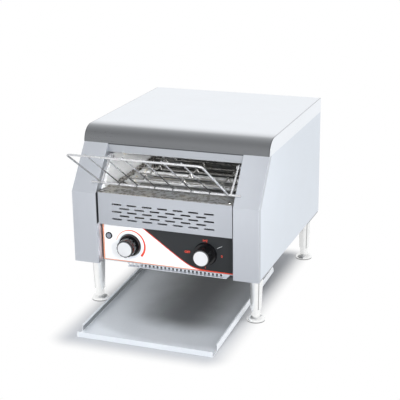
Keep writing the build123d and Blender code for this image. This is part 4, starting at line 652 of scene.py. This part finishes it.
def machined(name, colour, roughness, grease):
    """Machined metal with greasy patches."""
    finish = Finish(name)
    tool_marks = finish.noise(TOOL_MARKS, detail=2.0) - 0.5
    smears = finish.noise((PATCH_SIZE,) * 3, detail=4.0, roughness=0.65)
    patches = finish.ease(smears, 0.40, 0.62)
    greasy = patches * grease
    colour = finish.mix(greasy, colour, GREASE)
    return finish.done({"Base Color": finish.shaded(colour, 1 + tool_marks * 0.2),
                        "Metallic": 1.0 - greasy * 0.5,
                        "Roughness": roughness + tool_marks * 0.12 - greasy * 0.08},
                       height=tool_marks + patches * 0.4, depth=0.02)


chain_steel = machined("chain_steel", rgb(186, 183, 178), 0.28, 0.8)
paint(chain_steel, "drive_chain", "drive_shaft_sprockets", "idler_shaft_sprockets",
      "motor_sprocket")
paint(machined("shaft_steel", rgb(186, 184, 180), 0.24, 0.35),
      "drive_shaft", "idler_shaft", "speed_spindle", "selector_spindle")
paint(machined("sintered_bronze", rgb(176, 140, 92), 0.36, 0.3), "shaft_bushes", "spindle_nuts")
paint(steel_sheet("bracket_steel", rgb(170, 172, 175), "x", roughness=0.4), "leg_brackets")
print("machined pieces:", [name for name, slot in SLOT_OF.items() if slot == "steel_parts"])

# %% [markdown]
# ## The motor's enamel
# The gear motor's casting is sprayed and baked, which leaves a fine orange peel under a thin
# clear gloss, and dust settles on it in soft patches. A coat weight gives the gloss, where a
# second shader on top would only repeat it.

# %% Grey stove enamel
ENAMEL_GREY = rgb(96, 99, 103)
DUST = rgb(150, 146, 138)


def motor_paint():
    """Grey stove enamel over a casting: a fine orange peel, and dust."""
    finish = Finish("motor_enamel")
    peel = finish.noise((1.6, 1.6, 1.6), detail=2.0)
    dust = finish.ease(finish.noise((14, 14, 14), detail=4.0), 0.45, 0.75)
    return finish.done({"Base Color": finish.mix(dust * 0.35, ENAMEL_GREY, DUST),
                        "Roughness": 0.35 + dust * 0.3, "Coat Weight": 0.2},
                       height=peel, depth=0.05)


paint(motor_paint(), "gear_motor")
motor_low, motor_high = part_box("gear_motor")
print("motor in mm:", [round(side / MM) for side in motor_high - motor_low])

# %% [markdown]
# ## Roller chains
# Each side of the belt is a roller chain: pins in a row, a roller round each, and link plates that
# join them two by two, alternately the narrow inner pair and the wide outer pair. The plates are
# pinched between the pins, so light falls through the chain. An array modifier along a curve
# would bend the plates at the shafts, while real plates stay straight and only the pins turn. So
# the pins are first set out along the loop, and every link is built from pin to pin.

# %% Where the pins sit
CHAIN_PITCH = 12.0
PIN_COUNT = 42
PLATE_END = 3.4                  # radius of a link plate round its pin
PLATE_WAIST = 1.9                # half its height between the pins
PLATE_THICKNESS = 0.8
INNER_PLATE = 2.1                # from the chain's side to an inner plate's far face, in plates
ROLLER_END = 2.3                 # and to a roller's end
CHAIN_HALF_WIDTH = 4.0
ROLLER_RADIUS = 3.0
PIN_RADIUS = 1.2
PIN_PROUD = 0.3                  # how far the pins stand out of the outer plates

loop_low, loop_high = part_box("right_conveyor_chain")
loop_z = (loop_low.z + loop_high.z) / 2 / MM
loop_radius = (loop_high.z - loop_low.z) / 2 / MM - PLATE_END
front_shaft_y = loop_low.y / MM + PLATE_END + loop_radius
rear_shaft_y = loop_high.y / MM - PLATE_END - loop_radius


def loop_point(distance):
    """The point of the chain's pitch line at a distance along it, with x left at 0."""
    run = rear_shaft_y - front_shaft_y
    bend = math.pi * loop_radius
    distance %= 2 * (run + bend)
    if distance < run:
        return Vector((0, front_shaft_y + distance, loop_z + loop_radius))
    if distance < run + bend:
        turned = math.pi / 2 - (distance - run) / loop_radius
        return Vector((0, rear_shaft_y + loop_radius * math.cos(turned),
                       loop_z + loop_radius * math.sin(turned)))
    distance -= run + bend
    if distance < run:
        return Vector((0, rear_shaft_y - distance, loop_z - loop_radius))
    turned = -math.pi / 2 - (distance - run) / loop_radius
    return Vector((0, front_shaft_y + loop_radius * math.cos(turned),
                   loop_z + loop_radius * math.sin(turned)))


pins = [loop_point(index * CHAIN_PITCH) for index in range(PIN_COUNT)]
print("loop radius", round(loop_radius, 2), "mm, shafts at y",
      round(front_shaft_y, 1), "and", round(rear_shaft_y, 1))

# %% One link
def add_prism(shaper, outline, depth):
    """A flat outline pushed out along a vector."""
    near = [shaper.verts.new(point * MM) for point in outline]
    far = [shaper.verts.new((point + depth) * MM) for point in outline]
    shaper.faces.new(reversed(near))
    shaper.faces.new(far)
    count = len(outline)
    for index in range(count):
        after = (index + 1) % count
        shaper.faces.new((near[index], near[after], far[after], far[index]))


def ring(centre, radius, steps=16):
    """Points round a centre, in the plane across the toaster's x."""
    turns = [2 * math.pi * step / steps for step in range(steps)]
    return [centre + Vector((0, math.cos(turn), math.sin(turn))) * radius for turn in turns]


def plate_outline(start, end, steps=6):
    """A link plate round two pins, pinched between them."""
    along = (end - start).normalized()
    upward = Vector((0, -along.z, along.y))
    length = (end - start).length
    outline = []
    for pin, ahead, side in ((end, along, upward), (start, -along, -upward)):
        for step in range(steps + 1):
            turn = math.pi * (0.5 - step / steps)
            outline.append(pin + (ahead * math.cos(turn) + side * math.sin(turn)) * PLATE_END)
        for step in range(1, steps):
            share = step / steps
            pinch = PLATE_END - (PLATE_END - PLATE_WAIST) * math.sin(math.pi * share)
            outline.append(pin - ahead * length * share - side * pinch)
    return outline


print("points round a plate:", len(plate_outline(pins[0], pins[1])))

# %% Both chains
def chain_mesh(name, middle_x):
    """A whole roller chain in one mesh: rollers, pins and alternating plates."""
    shaper = bmesh.new()
    for index, pin in enumerate(pins):
        after = pins[(index + 1) % PIN_COUNT]
        place = pin + Vector((middle_x, 0, 0))
        outer = index % 2
        plate_x = CHAIN_HALF_WIDTH - PLATE_THICKNESS * (1 if outer else INNER_PLATE)
        for side in (-1, 1):
            low_x = plate_x if side > 0 else -plate_x - PLATE_THICKNESS
            shift = Vector((middle_x + low_x, 0, 0))
            outline = [point + shift for point in plate_outline(pin, after)]
            add_prism(shaper, outline, Vector((PLATE_THICKNESS, 0, 0)))
        half_roller = CHAIN_HALF_WIDTH - PLATE_THICKNESS * ROLLER_END
        half_pin = CHAIN_HALF_WIDTH + PIN_PROUD
        for half, radius in ((half_roller, ROLLER_RADIUS), (half_pin, PIN_RADIUS)):
            outline = ring(place - Vector((half, 0, 0)), radius)
            add_prism(shaper, outline, Vector((2 * half, 0, 0)))
    bmesh.ops.recalc_face_normals(shaper, faces=shaper.faces)
    mesh = bpy.data.meshes.new(name)
    shaper.to_mesh(mesh)
    shaper.free()
    return mesh


for side in ("left", "right"):
    low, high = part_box(f"{side}_conveyor_chain")
    mesh = chain_mesh(f"{side}_roller_chain", (low.x + high.x) / 2 / MM)
    piece = add_piece(mesh.name, mesh, chain_steel, "toaster")
    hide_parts(f"{side}_conveyor_chain")
    print(piece.name, len(mesh.polygons), "faces")

# %% [markdown]
# ## Quartz and ceramic
# The tubes are milky fused quartz with a coiled element inside, held by white ceramic caps. Glass
# that is only partly clear renders cleanly and shows the coil as a dim line, as real tubes do.

# %% Heating tubes and their caps
def milky_quartz():
    """Fused quartz: faint draw lines and milky streaks along the tube."""
    finish = Finish("milky_quartz")
    streaks = finish.noise((80, 1.8, 1.8), detail=2.0)
    baked = finish.ease(finish.noise((30, 8, 8), detail=3.0), 0.5, 0.8)
    colour = finish.mix(baked * 0.15, rgb(250, 251, 252), rgb(206, 196, 180))
    return finish.done({"Base Color": colour, "Roughness": 0.10 + streaks * 0.14,
                        "Transmission Weight": 0.2, "IOR": 1.46},
                       height=streaks, depth=0.03)


def fired_ceramic():
    """Unglazed white ceramic with a chalky skin and a few scorched spots."""
    finish = Finish("fired_ceramic")
    chalk = finish.noise((2.2, 2.2, 2.2), detail=4.0)
    scorch = finish.ease(finish.noise((11, 11, 11), detail=3.0), 0.55, 0.75)
    colour = finish.mix(scorch * 0.5, rgb(234, 230, 220), rgb(172, 152, 124))
    return finish.done({"Base Color": finish.shaded(colour, 0.94 + chalk * 0.1),
                        "Roughness": 0.6 + chalk * 0.2}, height=chalk, depth=0.06)


paint(milky_quartz(), "upper_heating_tubes", "lower_heating_tubes")
paint(fired_ceramic(), "tube_end_caps", "terminal_block")

# %% [markdown]
# ## The elements inside the tubes
# A resistance wire is wound into a close coil and threaded through each tube. The Screw modifier
# could wind a profile into a helix, but a curve whose points come from sine and cosine says the
# same in three lines, and its bevel gives the wire its thickness. Caps close the wire's ends.

# %% Heating coils
COIL_RADIUS = 3.0
COIL_PITCH = 3.6
COIL_WIRE = 0.35                 # radius of the wire
COIL_END_GAP = 16.0              # plain ends of a tube, in its caps
COIL_STEPS = 10                  # points in a turn
TUBES_IN_ROW = 3


def coil_points(start_x, end_x, y, z):
    """Points of a helix round a tube's middle line, in millimetres."""
    count = round((end_x - start_x) / COIL_PITCH * COIL_STEPS)
    for step in range(count + 1):
        turn = 2 * math.pi * step / COIL_STEPS
        x = start_x + (end_x - start_x) * step / count
        yield (x, y + COIL_RADIUS * math.cos(turn), z + COIL_RADIUS * math.sin(turn))


def coil_curve(name, tubes):
    """The coils of a row of tubes."""
    curve = bpy.data.curves.new(name, "CURVE")
    curve.dimensions = "3D"
    curve.bevel_depth = COIL_WIRE * MM
    curve.bevel_resolution = 1
    curve.use_fill_caps = True
    low, high = (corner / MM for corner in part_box(tubes))
    radius = (high.z - low.z) / 2
    for index in range(TUBES_IN_ROW):
        y = low.y + radius + (high.y - low.y - 2 * radius) * index / (TUBES_IN_ROW - 1)
        points = list(coil_points(low.x + COIL_END_GAP, high.x - COIL_END_GAP, y, low.z + radius))
        spline = curve.splines.new("POLY")
        spline.points.add(len(points) - 1)
        for point, place in zip(spline.points, points):
            point.co = [part * MM for part in place] + [1]
    return curve


element_wire = machined("element_wire", rgb(120, 108, 98), 0.45, 0.2)
for row in ("upper", "lower"):
    curve = coil_curve(f"{row}_heating_coils", f"{row}_heating_tubes")
    add_piece(curve.name, curve, element_wire, "toaster")
    print(curve.name, sum(len(spline.points) for spline in curve.splines), "points")

# %% [markdown]
# ## Knobs, lamp and hidden controls
# The knobs are moulded in black thermoset, which is glossy but never perfectly flat: the mould
# leaves a very fine orange peel, and fingers dull the tops of the flutes. A mould also rounds
# every edge, and on a knob those small rounds catch the light. Building them into the solids
# would cost many faces, so a bevel modifier makes them here.

# %% Black plastic
MOULD_EDGE = 0.5                 # width of a rounded edge
EDGE_ANGLE = math.radians(35)    # blunter edges than this aren't rounded
MOULD_BLACK = rgb(18, 18, 20)
HANDLED_BLACK = rgb(34, 34, 36)


def black_plastic():
    """Glossy black moulding with a fine peel and duller handled patches."""
    finish = Finish("black_moulding")
    peel = finish.noise((2.0, 2.0, 2.0), detail=2.0)
    handled = finish.ease(finish.noise((7, 7, 7), detail=3.0), 0.45, 0.7)
    return finish.done({"Base Color": finish.mix(handled * 0.4, MOULD_BLACK, HANDLED_BLACK),
                        "Roughness": 0.09 + handled * 0.12, "IOR": 1.5},
                       height=peel, depth=0.02)


paint(black_plastic(), "speed_knob", "selector_knob", "lamp_bezel", "speed_controller",
      "selector_switch", "cable_gland")
for name in ("speed_knob", "selector_knob", "lamp_bezel"):
    bevel = nodes[name].modifiers.new("rounded_edges", "BEVEL")
    bevel.width = MOULD_EDGE * MM
    bevel.segments = 2
    bevel.limit_method = "ANGLE"
    bevel.angle_limit = EDGE_ANGLE
    print(name, "has edges rounded by", MOULD_EDGE, "mm")

# %% [markdown]
# ## The knobs' caps
# Each knob has a cap of pale satin metal, turned on a lathe: fine rings run round its middle, and
# its rim is turned down and dark. Rings are the sine of the distance from the middle. Each cap
# needs its own material, because the two middles differ.

# %% Turned caps
RING_PITCH = 0.7
CAP_RIM = 1.6                    # width of the cap's darker turned-down rim
CAP_RIM_SOFT = 0.3
CAP_RIM_SHADE = 0.9
CAP_METAL = rgb(222, 223, 225)


def middle(name):
    """The middle of a CAD node's box."""
    low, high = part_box(name)
    return (low + high) / 2


def turned_cap(name, centre, outer_radius):
    """Satin metal with rings that run round the cap's middle, dark at the turned-down rim."""
    finish = Finish(name)
    across = finish.x - centre.x / MM
    upward = finish.z - centre.z / MM
    radius = (across * across + upward * upward) ** 0.5
    rings = finish.maths("SINE", radius * (2 * math.pi / RING_PITCH))
    wear = finish.noise((6, 6, 6), detail=3.0)
    rim_start = outer_radius - CAP_RIM
    rim = 1 - finish.ease(radius, rim_start, rim_start + CAP_RIM_SOFT) * CAP_RIM_SHADE
    return finish.done({"Base Color": finish.shaded(CAP_METAL, (0.96 + wear * 0.06) * rim),
                        "Metallic": 0.35, "Roughness": 0.38 + rings * 0.04 + wear * 0.08},
                       height=rings, depth=GRAIN_DEPTH)


speed_middle = middle("speed_knob")
selector_middle = middle("selector_knob")
cap_low, cap_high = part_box("speed_knob_cap")
cap_radius = (cap_high.x - cap_low.x) / 2 / MM
paint(turned_cap("speed_cap_metal", speed_middle, cap_radius), "speed_knob_cap")
paint(turned_cap("selector_cap_metal", selector_middle, cap_radius), "selector_knob_cap")
print("knobs at", speed_middle, selector_middle)

# %% [markdown]
# ## The printed film
# A polyester film covers the control panel. It is screen-printed from behind: white on the left,
# charcoal on the right, with a thin red line where they meet, an orange border that turns red on
# the charcoal, and a band that swells round the speed dial to say slow and fast without words.
# Each shape is a distance in millimetres on the film: the sweep is a hyperbola that falls
# steeply and then runs out level, and the swelling band is a ring whose width grows with the
# angle. The inks are laid one over another, as a printer does.

# %% Sizes and inks of the print
film_low, film_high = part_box("control_overlay")
SWEEP_X = 48.0                   # where the sweep turns level
SWEEP_FALL = 0.72                # its slope before that
SWEEP_BEND = 16.0                # how gently it turns
SWEEP_RISE = 0.4                 # from the film's foot up to the level it runs out to
SWEEP_LINE = 0.85                # half the red line's width
BAND_SHIFT = 1.0                 # the band's middle lies this far right of the knob's
BAND_RADIUS = 29.3
BAND_START = math.radians(166)
BAND_END = math.radians(-43)
BAND_THIN = 1.0
BAND_THICK = 4.4
BAND_REDDENS = (0.1, 0.6)        # shares of its length between which it turns from orange to red
DIAL_RADIUS = 26.0
BORDER_LEFT = 2.8
BORDER_FOOT = 1.7
BORDER_REDDENS = (20.0, 80.0)    # the places in x between which it turns from orange to red
EDGE = 0.25                      # softness of a printed edge

PRINT_WHITE = rgb(252, 252, 252)
PRINT_CHARCOAL = rgb(42, 44, 46)
PRINT_ORANGE = rgb(234, 158, 130)
PRINT_RED = rgb(220, 72, 48)
PRINT_GREY = rgb(232, 235, 239)
print("film in mm:", [round(side / MM, 1) for side in film_high - film_low])

# %% Print the film
def printed_film():
    """The inks of the control panel's film."""
    finish = Finish("printed_film")
    before = SWEEP_X - finish.x
    fall = (before + (before * before + SWEEP_BEND ** 2) ** 0.5) * (SWEEP_FALL / 2)
    over_sweep = (finish.z - (film_low.z / MM + SWEEP_RISE) - fall) / math.hypot(1, SWEEP_FALL)
    across = finish.x - (speed_middle.x / MM + BAND_SHIFT)
    upward = finish.z - speed_middle.z / MM
    radius = (across * across + upward * upward) ** 0.5
    angle = finish.maths("ARCTAN2", upward, across)
    swell = (BAND_START - angle) / (BAND_START - BAND_END)
    half_band = (swell * (BAND_THICK - BAND_THIN) + BAND_THIN) / 2
    in_turn = finish.inside(abs(swell - 0.5), 0.5, 0.01)
    band = finish.inside(abs(radius - BAND_RADIUS) - half_band, 0, EDGE) * in_turn
    on_foot = finish.inside(finish.z - film_low.z / MM, BORDER_FOOT, EDGE)
    on_left = finish.inside(finish.x - film_low.x / MM, BORDER_LEFT, EDGE)

    border = finish.mix(finish.ease(finish.x, *BORDER_REDDENS), PRINT_ORANGE, PRINT_RED)
    band_ink = finish.mix(finish.ease(swell, *BAND_REDDENS), PRINT_ORANGE, PRINT_RED)
    colour = finish.mix(finish.inside(radius, DIAL_RADIUS, EDGE), PRINT_WHITE, PRINT_GREY)
    colour = finish.mix(finish.ease(over_sweep, -EDGE, EDGE), colour, PRINT_CHARCOAL)
    colour = finish.mix(finish.inside(abs(over_sweep), SWEEP_LINE, EDGE), colour, PRINT_RED)
    colour = finish.mix(on_foot, colour, border)
    colour = finish.mix(on_left, colour, border)
    colour = finish.mix(band, colour, band_ink)
    pebble = finish.noise((0.5, 0.5, 0.5), detail=1.0)
    wiped = finish.noise((30, 30, 8), detail=3.0)
    return finish.done({"Base Color": finish.shaded(colour, 0.97 + wiped * 0.05),
                        "Roughness": 0.32 + wiped * 0.16, "IOR": 1.35},
                       height=pebble, depth=0.01)


paint(printed_film(), "control_overlay")
print("nodes in the print:", len(nodes["control_overlay"].data.materials[0].node_tree.nodes))

# %% [markdown]
# ## Marks round the heat selector
# The selector's steps are printed as plain marks: off, one row of tubes, the other, or both.
# Drawing digits with node maths would be clumsy, so they are text objects, thinner than paint,
# that lie on the film. Blender's own font needs no file.

# %% Dial marks
MARK_HEIGHT = 6.2
MARK_BOLD = 0.12                 # how far the strokes are thickened
MARK_RAISE = 0.03
MARKS = (("1+2", -0.6, 25.9),    # each with its place right of and above the knob's middle
         ("OFF", -35.6, 0.0),
         ("2", 31.8, -1.0),
         ("1", -0.4, -26.6))


def flat_ink(name, colour):
    """Screen-printed ink: a satin colour with slightly uneven cover."""
    finish = Finish(name)
    cover = finish.noise((1.2, 1.2, 1.2), detail=2.0)
    return finish.done({"Base Color": finish.shaded(colour, 0.93 + cover * 0.12),
                        "Roughness": 0.4 + cover * 0.1}, height=cover, depth=GRAIN_DEPTH)


red_ink = flat_ink("red_ink", rgb(226, 74, 52))
dial = Vector((selector_middle.x, film_low.y, selector_middle.z))
for number, (words, offset_x, offset_z) in enumerate(MARKS):
    text = bpy.data.curves.new(f"dial_mark_{number}", "FONT")
    text.body = words
    text.size = MARK_HEIGHT * MM
    text.offset = MARK_BOLD * MM
    text.extrude = MARK_RAISE * MM / 2
    text.align_x = "CENTER"
    text.align_y = "CENTER"
    mark = add_piece(text.name, text, red_ink, "toaster")
    spot = dial + Vector((offset_x, 0, offset_z)) * MM
    mark.matrix_world = Matrix.Translation(spot) @ Matrix.Rotation(math.pi / 2, 4, "X")
print("marks:", [words for words, *_ in MARKS])

# %% A tick on the dial
TICK = ((22.6, 13.4), (32.5, 18.7))
TICK_HALF_WIDTH = 0.45


def strip_mesh(name, start, end, half_width, thickness):
    """A thin bar on the film between two (x, z) points."""
    start = Vector((start[0], 0, start[1]))
    end = Vector((end[0], 0, end[1]))
    side = (end - start).cross(Vector((0, 1, 0))).normalized() * half_width
    front = Vector((0, -thickness, 0))
    corners = [start - side, end - side, end + side, start + side]
    points = [(corner + layer) * MM for layer in (Vector(), front) for corner in corners]
    sides = [(i, i + 4, (i + 1) % 4 + 4, (i + 1) % 4) for i in range(4)]
    mesh = bpy.data.meshes.new(name)
    mesh.from_pydata(points, [], [(0, 1, 2, 3), (7, 6, 5, 4)] + sides)
    return mesh


grey_ink = flat_ink("grey_ink", rgb(176, 178, 180))
tick = add_piece("dial_tick", strip_mesh("dial_tick", *TICK, TICK_HALF_WIDTH, MARK_RAISE),
                 grey_ink, "toaster")
tick.matrix_world = Matrix.Translation(dial)
print("tick corners:", len(tick.data.vertices))

# %% [markdown]
# ## The signal lamp
# The lens is a moulded grey dome with fine facets, dark while the lamp is off. The facets could be
# modelled, but at their size a bump from two crossed sine waves looks the same.

# %% Lamp lens
FACETS = 4.0                     # turns of the facets' waves, in radians per millimetre
LENS_GREY = rgb(150, 156, 164)


def lens_plastic():
    """Grey moulding with a grid of small facets."""
    finish = Finish("lens_moulding")
    facets = finish.maths("SINE", finish.x * FACETS) * finish.maths("SINE", finish.z * FACETS)
    dust = finish.noise((3, 3, 3), detail=2.0)
    return finish.done({"Base Color": finish.shaded(LENS_GREY, 0.85 + facets * 0.2),
                        "Roughness": 0.12 + dust * 0.1}, height=facets, depth=0.08)


paint(lens_plastic(), "lamp_lens")
print("lens at", middle("lamp_lens"))

# %% [markdown]
# ## Floor
# The toaster stands on a white table. The floor is a wide disc of grey matt board that turns into
# plain white away from the toaster, so that it meets the white background without a line while
# it keeps the soft shadow under the legs. The board's grey round the toaster is painted shade,
# which makes that shadow a darker halo. A shadow catcher would need a second picture laid over
# the first, while a mix with a plain white glow does the same in one material.

# %% Floor
FLOOR_RADIUS = 9.0               # in metres
FLOOR_DROP = 0.2 * MM
FOOTPRINT_LOW = (-128.0, -275.0)  # corners in x and y of the place where shadows stay, in mm
FOOTPRINT_HIGH = (124.0, 240.0)
FADE_END = 55.0                  # from that place to plain white
MIRRORED_WHITE = 0.8             # least share of plain white in what polished steel mirrors
# the board's grey is painted shade round the toaster
BOARD_COLOUR = (0.62, 0.63, 0.65, 1)
WHITE = (1, 1, 1, 1)


def floor_board():
    """Grey board round the toaster, a painted shade that darkens its shadows, and plain white
    elsewhere.
    """
    graph = Finish("floor_board")
    offs = []
    for place, low, high in zip((graph.x, graph.y), FOOTPRINT_LOW, FOOTPRINT_HIGH):
        off_middle = abs(place - (low + high) / 2) - (high - low) / 2
        offs.append(graph.maths("MAXIMUM", off_middle, 0.0))
    far = (offs[0] * offs[0] + offs[1] * offs[1]) ** 0.5
    fade = graph.ease(far, 0.0, FADE_END)
    seen = graph.node("LightPath", output="Is Camera Ray")
    straight = graph.maths("MAXIMUM", seen, seen.other("Is Transmission Ray"))
    mirrored = seen.other("Is Glossy Ray") * graph.maths("MAXIMUM", fade, MIRRORED_WHITE)
    plain = graph.maths("MAXIMUM", fade * straight, mirrored)
    fibres = graph.noise((4, 4, 4), detail=3.0)
    paper = graph.shaded(BOARD_COLOUR, 0.99 + fibres * 0.02)
    board = graph.node("BsdfDiffuse", {}, {"Color": paper})
    white = graph.node("Emission", {}, {"Color": WHITE, "Strength": 1.0})
    surface = graph.node("MixShader", {}, {0: plain, 1: board, 2: white})
    graph.node("OutputMaterial", {}, {"Surface": surface})
    return graph.material


floor_mesh = bpy.data.meshes.new("floor")
shaper = bmesh.new()
bmesh.ops.create_circle(shaper, cap_ends=True, segments=96, radius=FLOOR_RADIUS)
shaper.to_mesh(floor_mesh)
shaper.free()
floor_mesh.materials.append(floor_board())
floor = bpy.data.objects.new("floor", floor_mesh)
bpy.context.scene.collection.objects.link(floor)
floor.location.z = -FLOOR_DROP
print("floor radius in m:", FLOOR_RADIUS)

# %% [markdown]
# ## What the metal reflects
# Metal shows what surrounds it. Reflections see a bright horizon and a darker ceiling, as in a
# studio, the camera sees plain white, and the light that falls on the toaster from all round is
# an even pale grey. The Light Path node tells these three kinds of ray apart.

# %% World
HORIZON = 1.0
HAZE = 0.86
CEILING = 0.78
STUDIO_STOPS = [(0.0, HORIZON), (0.42, HORIZON), (0.62, HAZE), (0.80, CEILING), (1.0, CEILING)]
AMBIENT = (0.66, 0.68, 0.71, 1)

world = bpy.data.worlds.new("studio")
bpy.context.scene.world = world
sky = Graph(world)
direction = sky.node("TexCoord", output="Generated")
height = sky.node("SeparateXYZ", inputs={0: direction}).other("Z")
studio = sky.node("ValToRGB", {"stops": STUDIO_STOPS}, {0: height})
light_path = sky.node("LightPath", output="Is Camera Ray")
surroundings = sky.mix(light_path.other("Is Glossy Ray"), AMBIENT, studio)
straight = sky.maths("MAXIMUM", light_path, light_path.other("Is Transmission Ray"))
seen_colour = sky.mix(straight, surroundings, WHITE)
background = sky.node("Background", {}, {"Color": seen_colour, "Strength": 1.0})
sky.node("OutputWorld", {}, {"Surface": background})
print("ceiling over horizon:", round(CEILING / HORIZON, 2))

# %% [markdown]
# ## Lamps
# Four wide lamps give the soft light of a product table. They are kept out of reflections, as a
# polarising filter does, because brushed sheet would spread them over the lid as a white glare.
# Two lamps with a narrow beam, called snoots, shine through the feed opening, without which the
# chamber would be dark. One of them may be mirrored, for the glints on the wires.

# %% Wide lamps
LAMPS = (("key_lamp", (0.9, -0.9, 2.1), 3.0, 11.0),    # place and size in metres, then watts
         ("front_lamp", (0.1, -2.1, 1.1), 2.2, 15.0),
         ("side_lamp", (2.0, 0.2, 0.9), 1.2, 5.0),
         ("rear_lamp", (-0.6, 1.3, 2.4), 3.2, 6.0))


def add_lamp(name, kind, place, aimed_at, power):
    """A lamp at a place that shines at another. Lamps shine down their own z axis."""
    data = bpy.data.lights.new(name, kind)
    data.energy = power
    lamp = bpy.data.objects.new(name, data)
    bpy.context.scene.collection.objects.link(lamp)
    aim = (Vector(place) - Vector(aimed_at)).to_track_quat("Z", "Y")
    lamp.matrix_world = Matrix.Translation(place) @ aim.to_matrix().to_4x4()
    return lamp


for name, place, size, power in LAMPS:
    lamp = add_lamp(name, "AREA", place, CAMERA_TARGET, power)
    lamp.data.shape = "DISK"
    lamp.data.size = size
    lamp.visible_glossy = False
print("lamps:", [name for name, *_ in LAMPS])

# %% Snoots
SNOOTS = (("wall_snoot", (0.95, -1.15, 0.62), (-0.03, -0.03, 0.245), 95.0, 0.12),
          ("rack_snoot", (0.29, -1.47, 0.857), (-0.02, -0.01, 0.255), 40.0, 0.03))
SNOOT_CONE = math.radians(17)

for name, place, aimed_at, power, radius in SNOOTS:
    snoot = add_lamp(name, "SPOT", place, aimed_at, power)
    snoot.data.spot_size = SNOOT_CONE
    snoot.data.spot_blend = 1.0
    snoot.data.shadow_soft_size = radius
    snoot.visible_glossy = name == "wall_snoot"
print("snoots:", [name for name, *_ in SNOOTS])

# %% Finish
bpy.context.view_layer.update()
